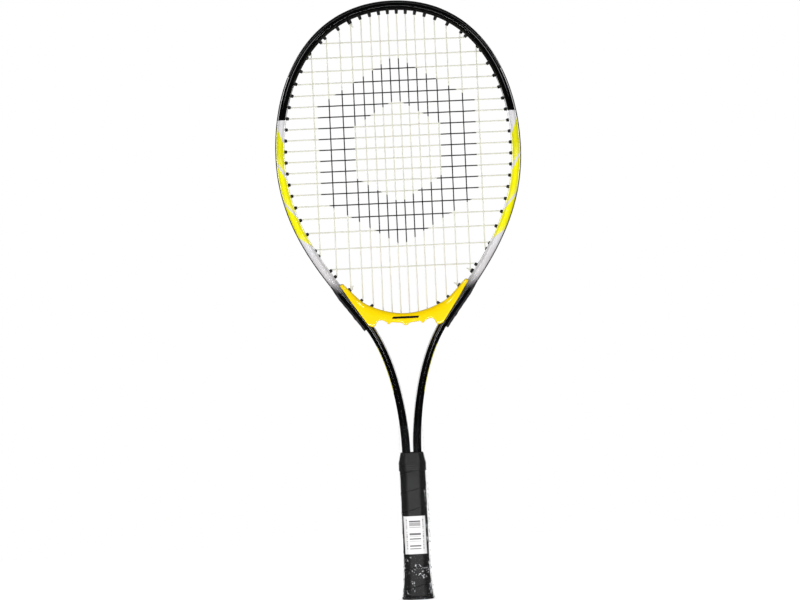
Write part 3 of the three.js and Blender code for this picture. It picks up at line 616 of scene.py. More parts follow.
def string_finish():
    """Natural nylon. The middle of the bed carries a plain six-sided ring, stencilled in black."""
    paint = Finish("string_nylon", IOR=1.45)
    streaks = paint.noise(260.0, 4.0, 0.6)
    natural = paint.mix(streaks, srgb(228, 227, 214), srgb(211, 210, 193))
    across = paint.math("ABSOLUTE", paint.in_mm(paint.x))
    up = paint.math("ABSOLUTE", paint.in_mm(paint.z, -STENCIL_MIDDLE_Z))
    slanted = paint.math("MULTIPLY_ADD", across, STENCIL_SLOPE / STENCIL_HALF_HEIGHT,
                         paint.product(up, 1 / STENCIL_HALF_HEIGHT))
    reach = paint.math("MAXIMUM", slanted, paint.product(across, 1 / STENCIL_HALF_WIDTH))
    ragged = paint.math("MULTIPLY_ADD", paint.noise(420.0, 3.0), 0.03, -0.015)
    reach = paint.math("ADD", reach, ragged)
    ink = paint.product(paint.within(reach, 0.544, 0.996, 0.004),
                        paint.step(paint.noise(900.0, 3.0, 0.7), 0.30, 0.36))
    paint.colour(paint.mix(ink, natural, srgb(12, 12, 13)))
    paint.rough(paint.noise(700.0, 3.0), 0.30, 0.48)
    paint.bump(paint.noise(1800.0, 2.0), 0.015, 0.5)
    return paint.material


def grip_finish():
    """Embossed synthetic leather with rows of small holes."""
    paint = Finish("grip_leather", IOR=1.45, Sheen_Weight=0.04)
    grain = paint.cells(1500.0)
    mottled = paint.noise(110.0, 6.0, 0.65)
    colour = paint.mix(mottled, srgb(9, 9, 10), srgb(22, 21, 22))
    # Painted shade: the seam groove is coloured darker than the rest of the wrap.
    edge = paint.value("seam")
    paint.colour(paint.mix(edge, colour, srgb(6, 6, 6)))
    paint.rough(paint.noise(500.0, 4.0), 0.40, 0.56)
    paint.bump(grain, 0.10, 0.55)
    paint.bump(paint.noise(2200.0, 3.0), 0.05, 0.4)
    return paint.material


def collar_finish():
    paint = Finish("collar_rubber", IOR=1.5)
    bloom = paint.noise(160.0, 6.0, 0.7)
    paint.colour(paint.mix(bloom, srgb(10, 10, 11), srgb(23, 23, 24)))
    paint.rough(paint.noise(260.0, 5.0), 0.42, 0.60)
    paint.bump(paint.noise(1400.0, 4.0), 0.05, 0.6)
    return paint.material


def film_finish():
    """Clear packing film: nearly invisible where it lies smooth; white where creased, a painted glint."""
    paint = Finish("clear_film", IOR=1.5, Specular_IOR_Level=1.0)
    paint.material.surface_render_method = "BLENDED"
    crease = paint.value("crease")
    fine = paint.noise(300.0, 5.0, 0.6, paint.stretched((1.0, 1.0, 0.45)))
    # Painted glint: creased ridges are painted white and made more opaque, standing in for the light they
    # catch.
    painted_glint = paint.step(paint.math("MULTIPLY_ADD", fine, 1.3, paint.product(crease, 0.8)), 1.05, 1.35)
    paint.colour(paint.mix(painted_glint, srgb(150, 152, 156), srgb(240, 242, 246)))
    alpha = paint.math("MULTIPLY_ADD", painted_glint, 0.55, 0.006)
    paint.feed(paint.shader.inputs["Alpha"], alpha)
    paint.rough(fine, 0.06, 0.22)
    paint.bump(fine, 0.35, 0.7)
    return paint.material


def label_finish():
    """A white sticker with plain bars of several widths and rows of dashes beside them."""
    paint = Finish("label_paper", Specular_IOR_Level=0.4)
    low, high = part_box("price_label")
    middle = (low + high) / 2
    across = paint.in_mm(paint.math("SUBTRACT", paint.x, middle.x - LABEL_SHIFT * MM))
    across = paint.math("ABSOLUTE", across)
    up = paint.in_mm(paint.math("SUBTRACT", paint.z, middle.z))

    # Plain bars from the top down: height above the middle, half thickness and darkness.
    bars = 0.0
    for height, half_thickness, darkness in [
        (15.7, 0.75, 0.92), (12.4, 2.0, 0.55), (8.8, 0.35, 0.6), (1.1, 1.1, 0.85), (-1.5, 0.3, 0.4),
        (-4.4, 0.6, 0.95), (-7.0, 0.3, 0.4), (-12.4, 0.8, 0.85), (-15.6, 0.5, 0.8),
    ]:
        bar = paint.within(up, height - half_thickness, height + half_thickness, 0.08)
        bars = paint.math("MAXIMUM", bars, paint.product(bar, darkness))
    bars = paint.product(bars, paint.within(across, -1.0, 6.4, 0.08))
    # Rows 0.8 mm high beside them, each with or without a dash by a value of its own.
    row = paint.math("FLOOR", paint.product(up, 1 / 0.8))
    chance = paint.node("ShaderNodeTexWhiteNoise", {"noise_dimensions": "1D"}, W=row).outputs["Value"]
    dash = paint.product(paint.math("LESS_THAN", chance, 0.52), paint.within(across, 8.6, 10.0, 0.08),
                         paint.within(up, -16.5, 18.0, 0.08))
    paper = paint.mix(paint.noise(700.0, 4.0), srgb(240, 239, 239), srgb(226, 225, 226))
    edge = paint.math("MAXIMUM", paint.step(across, 11.8, 12.3),
                      paint.step(paint.math("ABSOLUTE", up), 21.0, 21.6))
    paper = paint.mix(paint.product(edge, 0.5), paper, srgb(188, 187, 189))
    colour = paint.mix(bars, paper, srgb(46, 44, 49))
    paint.colour(paint.mix(paint.product(dash, 0.55), colour, srgb(96, 95, 99)))
    paint.rough(paint.noise(90.0, 3.0), 0.38, 0.55)
    paint.bump(paint.noise(240.0, 4.0), 0.06, 0.6)
    return paint.material


def plain_finish(name, first, second, roughness, grain_scale, grain_depth):
    paint = Finish(name)
    paint.colour(paint.mix(paint.noise(grain_scale / 6, 5.0, 0.6), first, second))
    paint.rough(paint.noise(grain_scale / 3, 4.0), roughness - 0.08, roughness + 0.08)
    paint.bump(paint.noise(grain_scale, 3.0), grain_depth, 0.6)
    return paint.material


def brushed_finish():
    paint = Finish("brushed_steel", Metallic=1.0)
    strokes = paint.noise(500.0, 4.0, 0.6, paint.stretched((0.15, 1.0, 1.0)))
    paint.colour(paint.mix(strokes, srgb(150, 152, 156), srgb(196, 198, 202)))
    paint.rough(strokes, 0.25, 0.42)
    paint.bump(strokes, 0.02, 0.5)
    return paint.material


FRAME_LACQUER = frame_finish()
STRIP_PLASTIC = strip_finish("strip_plastic", srgb(8, 8, 9), srgb(24, 24, 25), 0.34, 0.52)
THROAT_STRIP_PLASTIC = strip_finish("throat_strip_plastic", srgb(30, 30, 32), srgb(64, 63, 66), 0.36, 0.55)
STRING_NYLON = string_finish()
BRUSHED_STEEL = brushed_finish()
CAP_PLASTIC = plain_finish("cap_plastic", srgb(14, 14, 15), srgb(30, 30, 32), 0.5, 1300.0, 0.05)
PALLET_FOAM = plain_finish("pallet_foam", srgb(214, 205, 160), srgb(190, 178, 128), 0.85, 900.0, 0.25)
CLOTH_TAPE = plain_finish("cloth_tape", srgb(18, 18, 19), srgb(34, 34, 36), 0.8, 2600.0, 0.10)


# ---- frame tube
def frame_tube():
    half = [
        (TUBE_FLAT, GROOVE_FLOOR), (TUBE_FLAT, TUBE_HALF), (8.0, 3.9), (TUBE_HALF_DEPTH, 1.4),
        (TUBE_HALF_DEPTH, -1.4), (8.0, -3.9), (TUBE_FLAT, -TUBE_HALF),
    ]
    cuts = [0.5, 0.5, 2.2, 2.2, 2.2, 2.2, 2.2]
    section = rounded(mirrored(half), cuts + cuts[::-1], steps=4)
    shell = Shell()
    rings = rim_rings(section, places(-4, 4))
    shell.add_rings(rings, level=section[:, 1])
    shell.piece("frame_tube_lacquered", FRAME_LACQUER, "frame_paint", "frame_tube")


# ---- strips with barrels
def add_barrel(shell, hole):
    place, reach, shared = hole
    radius = TIE_BARREL_RADIUS if shared else BARREL_RADIUS
    bore_across = STRING_RADIUS + GAP
    bore_deep = SHARED_BORE_HALF if shared else bore_across
    point, tangent, inward = rim(place)
    tip = TUBE_HALF + reach
    profile = [
        (radius + 0.1, radius + 0.1, -STRIP_FLOOR + 0.4), (radius + 0.2, radius + 0.2, TUBE_HALF - 0.2),
        (radius + 0.1, radius + 0.1, TUBE_HALF + 0.7), (radius - 0.2, radius - 0.2, tip - 0.3),
        (radius - BARREL_CHAMFER - 0.2, radius - BARREL_CHAMFER - 0.2, tip),
        (bore_across + 0.12, bore_deep + 0.12, tip), (bore_across, bore_deep, tip - 0.3),
        (bore_across, bore_deep, tip - 3.2),
    ]
    rings = []
    for across, deep, inwards in profile:
        ring = []
        for corner in range(BARREL_CORNERS):
            angle = 2 * math.pi * corner / BARREL_CORNERS
            x, z = point + inward * inwards + tangent * across * math.cos(angle)
            ring.append([x, deep * math.sin(angle), z])
        rings.append(ring)
    shell.add_rings(rings)


def strip(node, half, cuts, ends, material, slot, lift=None):
    start, end = ends
    section = rounded(mirrored(half), cuts + cuts[::-1], steps=3)
    shell = Shell()
    shell.add_rings(rim_rings(section, places(start, end), lift))
    for hole in HOLES:
        if start < hole[0] < end:
            add_barrel(shell, hole)
    shell.piece(f"{node}_moulded", material, slot, node)


def strips():
    plain_half = [
        (LANE_HALF_DEPTH, STRIP_FLOOR), (LANE_HALF_DEPTH, STRIP_PROUD), (STRIP_HALF_DEPTH, STRIP_PROUD),
        (STRIP_HALF_DEPTH, STRIP_UNDERSIDE),
    ]
    for side, name in SIDES:
        ends = sorted([side * (GUARD_END + STRIP_JOINT), side * (THROAT_STRIP_START - STRIP_JOINT)])
        strip(f"{name}_grommet_strip", plain_half, [0.3, 0.3, 0.3, 0.3], ends, STRIP_PLASTIC,
              "strip_plastic")
    guard_half = [
        (LANE_HALF_DEPTH, STRIP_FLOOR), (LANE_HALF_DEPTH, GUARD_PROUD), (4.8, GUARD_PROUD), (8.7, 5.0),
        (10.4, 3.5), (10.1, 2.5), (8.2, 4.15), (STRIP_HALF_DEPTH, TUBE_HALF + 0.35),
        (STRIP_HALF_DEPTH, STRIP_UNDERSIDE),
    ]
    strip("bumper_guard", guard_half, [0.3, 0.4, 1.2, 1.2, 0.5, 0.3, 0.5, 0.2, 0.3],
          (-GUARD_END, GUARD_END), STRIP_PLASTIC, "strip_plastic")
    throat_half = [
        (LANE_HALF_DEPTH, STRIP_FLOOR), (LANE_HALF_DEPTH, THROAT_STRIP_PROUD), (5.2, THROAT_STRIP_PROUD),
        (6.3, THROAT_STRIP_PROUD - 0.9), (6.8, TUBE_HALF), (STRIP_HALF_DEPTH, TUBE_HALF + 0.1),
        (STRIP_HALF_DEPTH, STRIP_UNDERSIDE),
    ]

    def throat_lift(place):
        """The strip rises from its upper end, with a low bump and shallow ribs along it."""
        along = abs(place)
        rise = -1.5 * (1 - smoothstep(along, THROAT_STRIP_START, THROAT_STRIP_START + 0.09))
        bump = 0.45 * math.exp(-((along - 1.90) / 0.014) ** 2)
        return rise + bump + 0.10 * math.sin(along * 430)

    for side, name in SIDES:
        ends = sorted([side * THROAT_STRIP_START, side * THROAT_STRIP_END])
        strip(f"{name}_throat_strip", throat_half, [0.3, 0.5, 0.8, 0.8, 0.6, 0.2, 0.3], ends,
              THROAT_STRIP_PLASTIC, "throat_strip_plastic", throat_lift)


# ---- throat bridge
def spline(knots, value):
    """A smooth curve through (position, height) knots, level at the first."""
    xs = [knot[0] for knot in knots]
    at = min(max(np.searchsorted(xs, value) - 1, 0), len(knots) - 2)

    def slope(index):
        if index == 0:
            return 0.0
        low, high = index - 1, min(index + 1, len(knots) - 1)
        return (knots[high][1] - knots[low][1]) / (knots[high][0] - knots[low][0])

    (x0, z0), (x1, z1) = knots[at], knots[at + 1]
    span = x1 - x0
    t = (value - x0) / span
    return ((2 * t ** 3 - 3 * t * t + 1) * z0 + (t ** 3 - 2 * t * t + t) * span * slope(at)
            + (3 * t * t - 2 * t ** 3) * z1 + (t ** 3 - t * t) * span * slope(at + 1))


def bridge():
    """Rings across the bridge: each joins a point on the upper edge to one on the lower edge."""
    upper = [(0, 327.6), (17.5, 329.6), (36.3, 335.7), (49, 342.7), (61.4, 354.8), BRIDGE_TIP[0]]
    # Stretches of the lower edge, from the middle out, each with the upper edge's range beside it
    # and the radius of its edge.
    stretches = [
        ([(0, 313.7), (2.0, 313.9), (3.4, 316.2), (5.5, 316.7)], (0, 6), BRIDGE_EDGE),
        ([(5.5, 316.7), (10, 317.1), (15.5, 317.8)], (6, 15.5), BRIDGE_EDGE),
        ([(15.5, 317.8), (17.4, 317.4), (18.4, 315.6), (20.5, 315.6), (21.6, 317.8), (23.5, 319.0)],
         (15.5, 23), BRIDGE_EDGE),
        ([(23.5, 319.0), (27, 320.6), (31.2, 320.3), (33.6, 318.0), (34.6, 315.0), (36.6, 313.2),
          (38.6, 313.3), (42.6, 315.0)], (23, 37), BRIDGE_EDGE),
        ([(42.6, 315.0), (53, 330.4), (63, 345.2), BRIDGE_TIP[1]], (37, BRIDGE_TIP[0][0]), BRIDGE_TIP_EDGE),
    ]
    stations = []
    for outline, (upper_low, upper_high), edge in stretches:
        curve = rounded([np.array(point, float) for point in outline], 1.2, steps=4, closed=False)
        lengths = lengths_along(curve)
        count = max(6, int(lengths[-1] / 0.9))
        for at in range(count):
            share = at / count
            lower = [np.interp(share * lengths[-1], lengths, curve[:, axis]) for axis in (0, 1)]
            x = upper_low + share * (upper_high - upper_low)
            stations.append((np.array([x, spline(upper, x)]), np.array(lower), edge))
    stations.append((np.array(BRIDGE_TIP[0]), np.array(BRIDGE_TIP[1]), BRIDGE_TIP_EDGE))

    def ring(top, bottom, edge, half_depth):
        span = np.linalg.norm(bottom - top)
        direction = (bottom - top) / span
        top_radius = min(8.5, 0.6 * span)
        edge = min(edge, 0.3 * span)
        distances = [top_radius * (1 - math.cos(angle)) for angle in np.linspace(0, math.pi / 2, 13)]
        distances += list(np.linspace(top_radius, span - edge, 7)[1:-1])
        distances += [span - edge * (1 - math.sin(angle)) for angle in np.linspace(0, math.pi / 2, 6)]
        front = []
        for distance in distances:
            rounding = 0.0
            if distance < top_radius:
                rounding = 5.0 * (1 - math.sqrt(max(0, 1 - (1 - distance / top_radius) ** 2)))
            beyond = distance - (span - edge)
            if beyond > 0:
                rounding = edge * (1 - math.sqrt(max(0, 1 - (beyond / edge) ** 2)))
            x, z = top + direction * distance
            front.append([x, -(half_depth - rounding * half_depth / 11.0), z])
        back = [[x, -y, z] for x, y, z in reversed(front)]
        return front + back

    right = []
    for top, bottom, edge in stations:
        towards_tip = float(smoothstep(top[0], 50, BRIDGE_TIP[0][0]))
        right.append(ring(top, bottom, edge, BRIDGE_HALF_DEPTH - BRIDGE_THINNING * towards_tip))
    left = [[[-x, y, z] for x, y, z in one] for one in reversed(right[1:])]
    tip_right = np.array(right[-1])
    tip_left = np.array(left[0])

    def closing(tip, outward):
        centre = tip.mean(axis=0)
        return [centre + (tip - centre) * scale + np.array([outward * push, 0, push * 0.9])
                for scale, push in ((0.86, 0.55), (0.6, 0.95), (0.25, 1.1))]

    shell = Shell()
    shell.add_rings(closing(tip_left, -1)[::-1] + left + right + closing(tip_right, 1))
    made = shell.piece("throat_bridge_moulded", bridge_finish(), "yellow_plastic", "throat_bridge")
    slots, drills = Shell(), Shell()
    slot_top = BRIDGE_LOOP_Z + STRING_RADIUS + GAP
    end = BRIDGE_SLOT_WIDTH / 2
    for from_x, to_x in ((-main_x(0), main_x(0)), (main_x(1), main_x(2)), (-main_x(2), -main_x(1))):
        plan = [(from_x - end, -end), (to_x + end, -end), (to_x + end, end), (from_x - end, end)]
        outline = rounded(plan, 0.9, steps=3)
        slots.add_rings([[(x, y, z) for x, y in outline] for z in (BELOW_BRIDGE_Z, slot_top)])
    for at, (_, index) in enumerate(COLUMNS):
        if index < BRIDGED_MAINS:
            column = [np.array([COLUMN_X[at], 0.0, z]) for z in (BRIDGE_LOOP_Z, DRILL_TOP_Z)]
            drills.add_rings(round_tube(column, BRIDGE_DRILL_RADIUS, 14))
        elif index - BRIDGED_MAINS < len(BRIDGE_MOUTH_Z):
            place, reach, shared = BOTTOMS[at]
            radius = (TIE_BARREL_RADIUS if shared else BARREL_RADIUS) + BARREL_CLEARANCE
            past_tip = -(TUBE_HALF + reach + DRILL_PAST_TIP)
            axis = [beside_rim(place, 0.0, 0.0), beside_rim(place, past_tip, 0.0)]
            drills.add_rings(round_tube(axis, radius, 18))
    for cutter in (slots, drills):
        cut_away(made, cutter)
    made.data.set_sharp_from_angle(angle=math.radians(38))


def cut_away(piece, cutter):
    """Takes the cutter's solids out of a piece's mesh."""
    mesh = cutter.mesh("cutter")
    tool = bpy.data.objects.new("cutter", mesh)
    scene.collection.objects.link(tool)
    boolean = piece.modifiers.new("cut", "BOOLEAN")
    boolean.operation = "DIFFERENCE"
    boolean.solver = "EXACT"
    boolean.object = tool
    bpy.context.view_layer.update()
    evaluated = piece.evaluated_get(bpy.context.evaluated_depsgraph_get())
    result = bpy.data.meshes.new_from_object(evaluated)
    piece.modifiers.clear()
    piece.data = result
    bpy.data.objects.remove(tool)
    bpy.data.meshes.remove(mesh)


# ---- strings
def lane_run(start_hole, end_hole, lane):
    start, end = start_hole[0], end_hole[0]
    length = np.linalg.norm(rim(start)[0] - rim(end)[0])
    easing = (end - start) * min(LANE_EASING / length, 0.3)
    low, high = sorted([start + easing, end - easing])
    run = [beside_rim(place, STRING_LEVEL, lane) for place in places(low, high, 6.0)]
    return run if start < end else run[::-1]


def tie_off(hole):
    """The string's end in a shared barrel: out of the groove, through and a short way on."""
    shift = -hole[2]
    return [beside_rim(hole[0], STRING_LEVEL, shift), mouth(hole, shift)]


def hole_pass(hole):
    """From the groove to the barrel's mouth, beside the other string where the barrel is shared."""
    return [beside_rim(hole[0], STRING_LEVEL, hole[2]), mouth(hole, hole[2])]


def woven(start, end, crossings, axis):
    """The stretch between two mouths: it bends gently over and under what it crosses."""
    points = []
    marks = [(start[axis], 0.0)] + crossings + [(end[axis], 0.0)]
    other = 2 - axis
    across = crossings[0][2] if crossings else 0.0
    for (low, y_low, *_), (high, y_high, *_) in zip(marks, marks[1:]):
        for step in range(1, 7):
            share = step / 6
            bend = (1 - math.cos(math.pi * share)) / 2
            point = np.zeros(3)
            point[axis] = low + share * (high - low)
            point[1] = y_low + bend * (y_high - y_low)
            point[other] = across
            points.append(point)
    return points[:-1]


def main_stretch(at, upwards):
    x = COLUMN_X[at]
    top = mouth(TOPS[at])
    bottom = mouth(BOTTOMS[at]) if BOTTOMS[at] else np.array([x, 0, BRIDGED_MAIN_FOOT_Z])
    crossings = []
    for row in reversed(range(len(ROW_Z))):
        if bottom[2] + 1 < ROW_Z[row] < top[2] - 1:
            crossings.append((ROW_Z[row], WEAVE if (at + row) % 2 else -WEAVE, x))
    points = woven(bottom, top, crossings, 2)
    return points if upwards else points[::-1]


def cross_stretch(row, rightwards):
    left, right = mouth(LEFTS[row]), mouth(RIGHTS[row])
    crossings = [(x, -WEAVE if (at + row) % 2 else WEAVE, ROW_Z[row])
                 for at, x in enumerate(COLUMN_X) if left[0] + 1 < x < right[0] - 1]
    points = woven(left, right, crossings, 0)
    return points if rightwards else points[::-1]


def softened(route):
    """Rounds the sharp turns of a route and leaves its gentle bends as they are."""
    kept = [route[0]]
    for point in route[1:]:
        if np.linalg.norm(point - kept[-1]) > 0.05:
            kept.append(point)
    result = [kept[0]]
    for before, corner, after in zip(kept, kept[1:], kept[2:]):
        arriving = corner - before
        leaving = after - corner
        sizes = np.linalg.norm(arriving), np.linalg.norm(leaving)
        if arriving.dot(leaving) / (sizes[0] * sizes[1]) > 0.94:
            result.append(corner)
            continue
        cut = min(LONGEST_TURN, 0.45 * sizes[0], 0.45 * sizes[1])
        start = corner - arriving / sizes[0] * cut
        end = corner + leaving / sizes[1] * cut
        result.extend(turned(start, corner, end, 5))
    return result + [kept[-1]]


def knot(hole):
    """A small tight knot on the string's end, just past the barrel's mouth, and its short tail."""
    place, reach, shared = hole
    _, tangent, inward = rim(place)
    centre = mouth((place, reach + 1.0, 0), -shared)
    along = np.array([inward[0], 0, inward[1]])
    sideways = np.array([tangent[0], 0, tangent[1]])
    deep = np.array([0.0, 1.0, 0.0])
    loop = []
    for step in range(KNOT_STEPS + 1):
        t = 2 * math.pi * step / KNOT_STEPS
        x = math.sin(t) + 2 * math.sin(2 * t)
        y = math.cos(t) - 2 * math.cos(2 * t)
        z = -math.sin(3 * t)
        loop.append(centre + 0.42 * (x * sideways + y * deep) + 0.5 * z * along)
    tail = [centre, centre + 1.6 * along + 0.4 * sideways, centre + 3.4 * along + 1.1 * sideways - 0.3 * deep]
    return loop, tail


def string(name, route, ties):
    shell = Shell()
    shell.add_rings(round_tube(softened(route), STRING_RADIUS))
    for hole in ties:
        for curve in knot(hole):
            shell.add_rings(round_tube(curve, STRING_RADIUS - 0.05, 8))
    shell.piece(f"{name}_woven", STRING_NYLON, "string_nylon", name, sharp=70)


def strings():
    tie_columns = [at for at, (_, index) in enumerate(COLUMNS) if index == TIE_MAIN_BOTTOM]
    first_tie, last_tie = (BOTTOMS[at] for at in tie_columns)
    route = tie_off(first_tie)[::-1] + lane_run(first_tie, BOTTOMS[0], TIE_LANE)
    for at in range(len(COLUMNS)):
        upwards = at % 2 == 0
        low_end = hole_pass(BOTTOMS[at]) if BOTTOMS[at] else [np.array([COLUMN_X[at], 0, BRIDGE_LOOP_Z])]
        high_end = hole_pass(TOPS[at])
        if upwards:
            route += low_end + main_stretch(at, True) + high_end[::-1]
        else:
            route += high_end + main_stretch(at, False) + low_end[::-1]
        if at + 1 == len(COLUMNS):
            break
        exits = TOPS if upwards else BOTTOMS
        if exits[at] and exits[at + 1]:
            outer_pair = {COLUMNS[at][1], COLUMNS[at + 1][1]} == {TIE_MAIN_BOTTOM, TIE_CROSS_BOTTOM}
            lane = CROSS_LANE if outer_pair and not upwards else MAIN_LANE
            route += lane_run(exits[at], exits[at + 1], lane)
    route += lane_run(BOTTOMS[-1], last_tie, TIE_LANE) + tie_off(last_tie)
    string("main_string", route, (first_tie, last_tie))

    start_tie = next(TOPS[at] for at, column in enumerate(COLUMNS) if column == (-1, TIE_MAIN_TOP))
    end_tie = next(BOTTOMS[at] for at, column in enumerate(COLUMNS) if column == (1, TIE_CROSS_BOTTOM))
    route = tie_off(start_tie)[::-1] + lane_run(start_tie, LEFTS[0], CROSS_LANE)
    for row in range(len(ROW_Z)):
        rightwards = row % 2 == 0
        entry, leaving = (LEFTS, RIGHTS) if rightwards else (RIGHTS, LEFTS)
        route += hole_pass(entry[row]) + cross_stretch(row, rightwards) + hole_pass(leaving[row])[::-1]
        target = leaving[row + 1] if row + 1 < len(ROW_Z) else end_tie
        route += lane_run(leaving[row], target, CROSS_LANE)
    route += tie_off(end_tie)
    string("cross_string", route, (start_tie, end_tie))


# ---- handle
AROUND = 144
PALLET_CORNERS = [
    (PALLET_HALF_X, PALLET_HALF_Y - PALLET_BEVEL), (PALLET_HALF_X - PALLET_BEVEL, PALLET_HALF_Y),
    (PALLET_BEVEL - PALLET_HALF_X, PALLET_HALF_Y), (-PALLET_HALF_X, PALLET_HALF_Y - PALLET_BEVEL),
]
PALLET_CORNERS += [(-x, -y) for x, y in PALLET_CORNERS]
OCTAGON = resampled(rounded(PALLET_CORNERS, 1.3, steps=5), AROUND)
OCTAGON_OUT = np.roll(OCTAGON, -1, axis=0) - np.roll(OCTAGON, 1, axis=0)
OCTAGON_OUT = np.stack([OCTAGON_OUT[:, 1], -OCTAGON_OUT[:, 0]], axis=1)
OCTAGON_OUT /= np.linalg.norm(OCTAGON_OUT, axis=1)[:, None]


def handle_ring(z, offset):
    """The handle's octagon at a height, moved outwards by one offset or by one for each point."""
    points = OCTAGON + OCTAGON_OUT * np.reshape(offset, (-1, 1))
    return np.column_stack([points, np.full(AROUND, z)])


def flare_at(z):
    return FLARE * (max(0.0, FLARE_TOP_Z - z) / FLARE_TOP_Z) ** FLARE_POWER


def grip():
    """A strip wound upwards in a spiral: each turn laps over the one below it."""
    bottom, top = (corner.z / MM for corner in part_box("grip_wrap"))
    share = np.arange(AROUND) / AROUND
    heights = np.linspace(bottom, top, GRIP_ROWS)
    rings, seam_shades = [], []
    for z in heights:
        turn = (z / GRIP_PITCH - share) % 1.0
        # The strip's edge stands up past the seam, and the seam itself is a narrow groove.
        lap = LAP_HEIGHT * np.exp(-turn / 0.16) - SEAM_DEPTH * np.exp(-((turn - GRIP_SEAM) / 0.022) ** 2)
        soft = np.array([ripple(x * 0.16, y * 0.16, z * 0.12) for x, y in OCTAGON])
        taper = smoothstep(z, 148, 153)
        end_roll = 0.8 * (1 - smoothstep(z, bottom, bottom + 1.6))
        rings.append(handle_ring(z, GRIP_OFFSET - 0.25 + flare_at(z) + lap + 0.10 * soft - taper - end_roll))
        # How strongly each point takes the painted shade of the seam groove.
        seam_shades.append(np.exp(-((turn - GRIP_SEAM) / 0.03) ** 2))
    inner = [handle_ring(z, GAP + flare_at(z)) for z in (top, FLARE_TOP_Z, 24.0, 12.0, bottom)]
    shell = Shell()
    seam_rows = seam_shades + [np.zeros(AROUND)] * len(inner)
    closed_rings = np.array(rings + inner)
    shell.add_rings(np.concatenate([closed_rings, closed_rings[:1]]), caps=False,
                    seam=np.array(seam_rows + [seam_shades[0]]))
    shell.piece("grip_wrap_wound", grip_finish(), "grip", "grip_wrap", sharp=60,
                welded=True)


def collar():
    low, high = (corner.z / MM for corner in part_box("grip_collar"))
    shell = Shell()
    profile = [(low, 2.45), (low + 0.2, 2.8), (low + 0.9, 2.95), (low + 1.8, 2.7)]
    for z in np.linspace(low + 2.2, high - 1.4, COLLAR_ROWS):
        share = (z - low) / (high - low)
        rib = 0.14 * max(0.0, math.sin((z - low) * 2 * math.pi / 2.6)) if share < 0.5 else 0.0
        narrowing = max(0.0, (z - COLLAR_SHOULDER_Z) / (high - COLLAR_SHOULDER_Z))
        profile.append((z, 2.75 - 0.15 * share - 2.35 * narrowing ** 0.9 + rib))
    profile += [(high - 0.7, 0.22), (high - 0.25, 0.12), (high, -0.15)]
    # The inside, from the top down, stepped over the pallets and the grip's end.
    profile += [(high, -0.45), (PALLET_TOP_Z + GAP, -0.45), (PALLET_TOP_Z, 0.25), (GRIP_TOP_Z, 0.25),
                (GRIP_TOP_Z, 1.75), (low + 5.5, 1.75), (low, 2.2), profile[0]]
    shell.add_rings([handle_ring(z, offset) for z, offset in profile], caps=False)
    shell.piece("grip_collar_moulded", collar_finish(), "collar_rubber", "grip_collar", sharp=60,
                welded=True)


